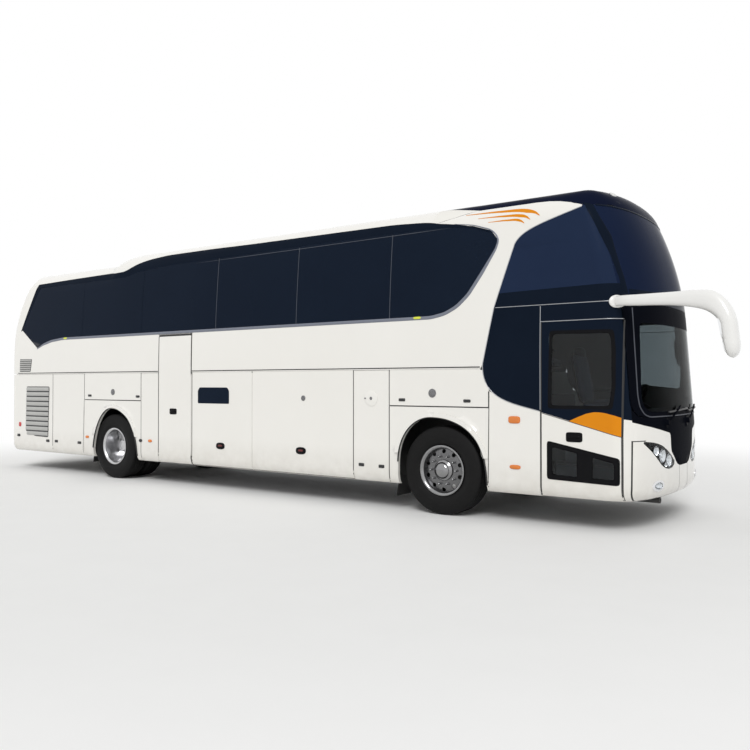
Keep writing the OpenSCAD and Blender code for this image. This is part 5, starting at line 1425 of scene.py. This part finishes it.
PANE_IN = rounded([(-0.940, 2.455), (0.940, 2.455), (0.940, 2.770), (0.908, 2.960), (0.868, 3.058),
                   (-0.868, 3.058), (-0.908, 2.960), (-0.940, 2.770)], 200, 4, closed=True)
roof_edge = straight((-1.000, 3.3098), (1.000, 3.3098), 80)
piece("roof_edge_seal", strip(rear_end, roof_edge, 0.014, 0.006, 0.010), seal_rubber)
piece("rear_pane_edge", border(rear_end, PANE_OUT, PANE_IN, 0.0025, 0.003), seal_rubber)
LAMP_Y, LAMP_Z = 1.005, 1.225
LAMP_BANDS = [(1.368, 0.138, red_lens, "stop_lamps"), (1.160, 0.058, amber_lens, "rear_indicators"),
              (1.012, 0.050, plate_white, "reversing_lamps")]
for z, half, lens, name in LAMP_BANDS:
    lenses = [plate(rear_end, y, z, 0.082, half, 8.0, 0.005, 0.003, 0.004) for y in (-LAMP_Y, LAMP_Y)]
    piece(name, together(*lenses), lens)
lamp_rims = [border(rear_end, oval(y, LAMP_Z, 0.108, 0.303, 8.0, 64),
                    oval(y, LAMP_Z, 0.090, 0.285, 8.0, 64),
                    0.006, 0.004) for y in (-LAMP_Y, LAMP_Y)]
piece("tail_lamp_rims", together(*lamp_rims), dark_plastic)
LID = [(-0.822, 0.568), (0.822, 0.568), (0.822, 1.648), (-0.822, 1.648), (-0.822, 0.568)]
lid_lines = [straight(a, b, 40) for a, b in zip(LID, LID[1:])]
grip = together(plate(rear_end, 0.0, 0.640, 0.150, 0.030, 6.0, 0.008),
                plate(rear_end, 0.0, 0.644, 0.120, 0.012, 4.0, 0.020, 0.004))
piece("engine_lid_trim", together(strips(rear_end, lid_lines, 0.009, 0.001, 0.002), grip), gloss_black,
      "engine_lid")
print("roof and back dressed")

# %% [markdown]
# A studio: a pale floor that fades into a white surround, one wide soft sun from the front right, and an
# even sky. The fade is needed because the camera looks level, and would otherwise see where the floor ends.

# %% Floor, surround and light
def seen_directly(tree):
    """Node that is 1 for what is seen straight, by reflection or through glass, and 0 for cast light."""
    path = add_node(tree, "LightPath")
    first = add_node(tree, "Math", operation="MAXIMUM")
    second = add_node(tree, "Math", operation="MAXIMUM")
    join(tree, path, "Is Camera Ray", first, 0)
    join(tree, path, "Is Glossy Ray", first, 1)
    join(tree, first, "Value", second, 0)
    join(tree, path, "Is Transmission Ray", second, 1)
    return second


floor_paint = finish("pale_studio_floor", (0.84, 0.84, 0.83), (0.87, 0.87, 0.86), 0.85, 0.05, 2.0)
tree, skin, place = parts_of(floor_paint)
far = add_node(tree, "VectorMath", operation="LENGTH")
fade = add_node(tree, "MapRange", From_Min=6.5, From_Max=13.0, interpolation_type="SMOOTHSTEP")
both = add_node(tree, "Math", operation="MULTIPLY")
white = add_node(tree, "Emission", Strength=1.0)
blend = add_node(tree, "MixShader")
join(tree, place, "Object", far, 0)
join(tree, far, "Value", fade, "Value")
join(tree, seen_directly(tree), "Value", both, 0)
join(tree, fade, "Result", both, 1)
join(tree, both, "Value", blend, 0)
join(tree, skin, "BSDF", blend, 1)
join(tree, white, "Emission", blend, 2)
tree.links.new(blend.outputs[0], tree.nodes["Material Output"].inputs["Surface"])

reach = np.linspace(-60, 60, 25)
floor_points = np.stack(np.broadcast_arrays(reach[:, None], reach[None, :], 0.0 * reach[None, :]), -1)
flat, quads = sheet_of(floor_points)
floor_mesh = bpy.data.meshes.new("studio_floor")
floor_mesh.from_pydata(flat.tolist(), [], quads.tolist())
floor_mesh.materials.append(floor_paint)
floor = bpy.data.objects.new("studio_floor", floor_mesh)
scene.collection.objects.link(floor)

world = bpy.data.worlds.new("studio_surround")
scene.world = world
world.use_nodes = True
sky = world.node_tree
back = sky.nodes["Background"]
level = add_node(sky, "MapRange", To_Min=0.62, To_Max=1.0)
join(sky, seen_directly(sky), "Value", level, "Value")
join(sky, level, "Result", back, "Strength")
back.inputs["Color"].default_value = (1, 1, 1, 1)

sun = bpy.data.lights.new("soft_key", "SUN")
sun.energy, sun.angle = 1.5, math.radians(25)
key = bpy.data.objects.new("soft_key", sun)
key.rotation_euler = (math.radians(48), 0, math.radians(28))
scene.collection.objects.link(key)
print("studio ready")
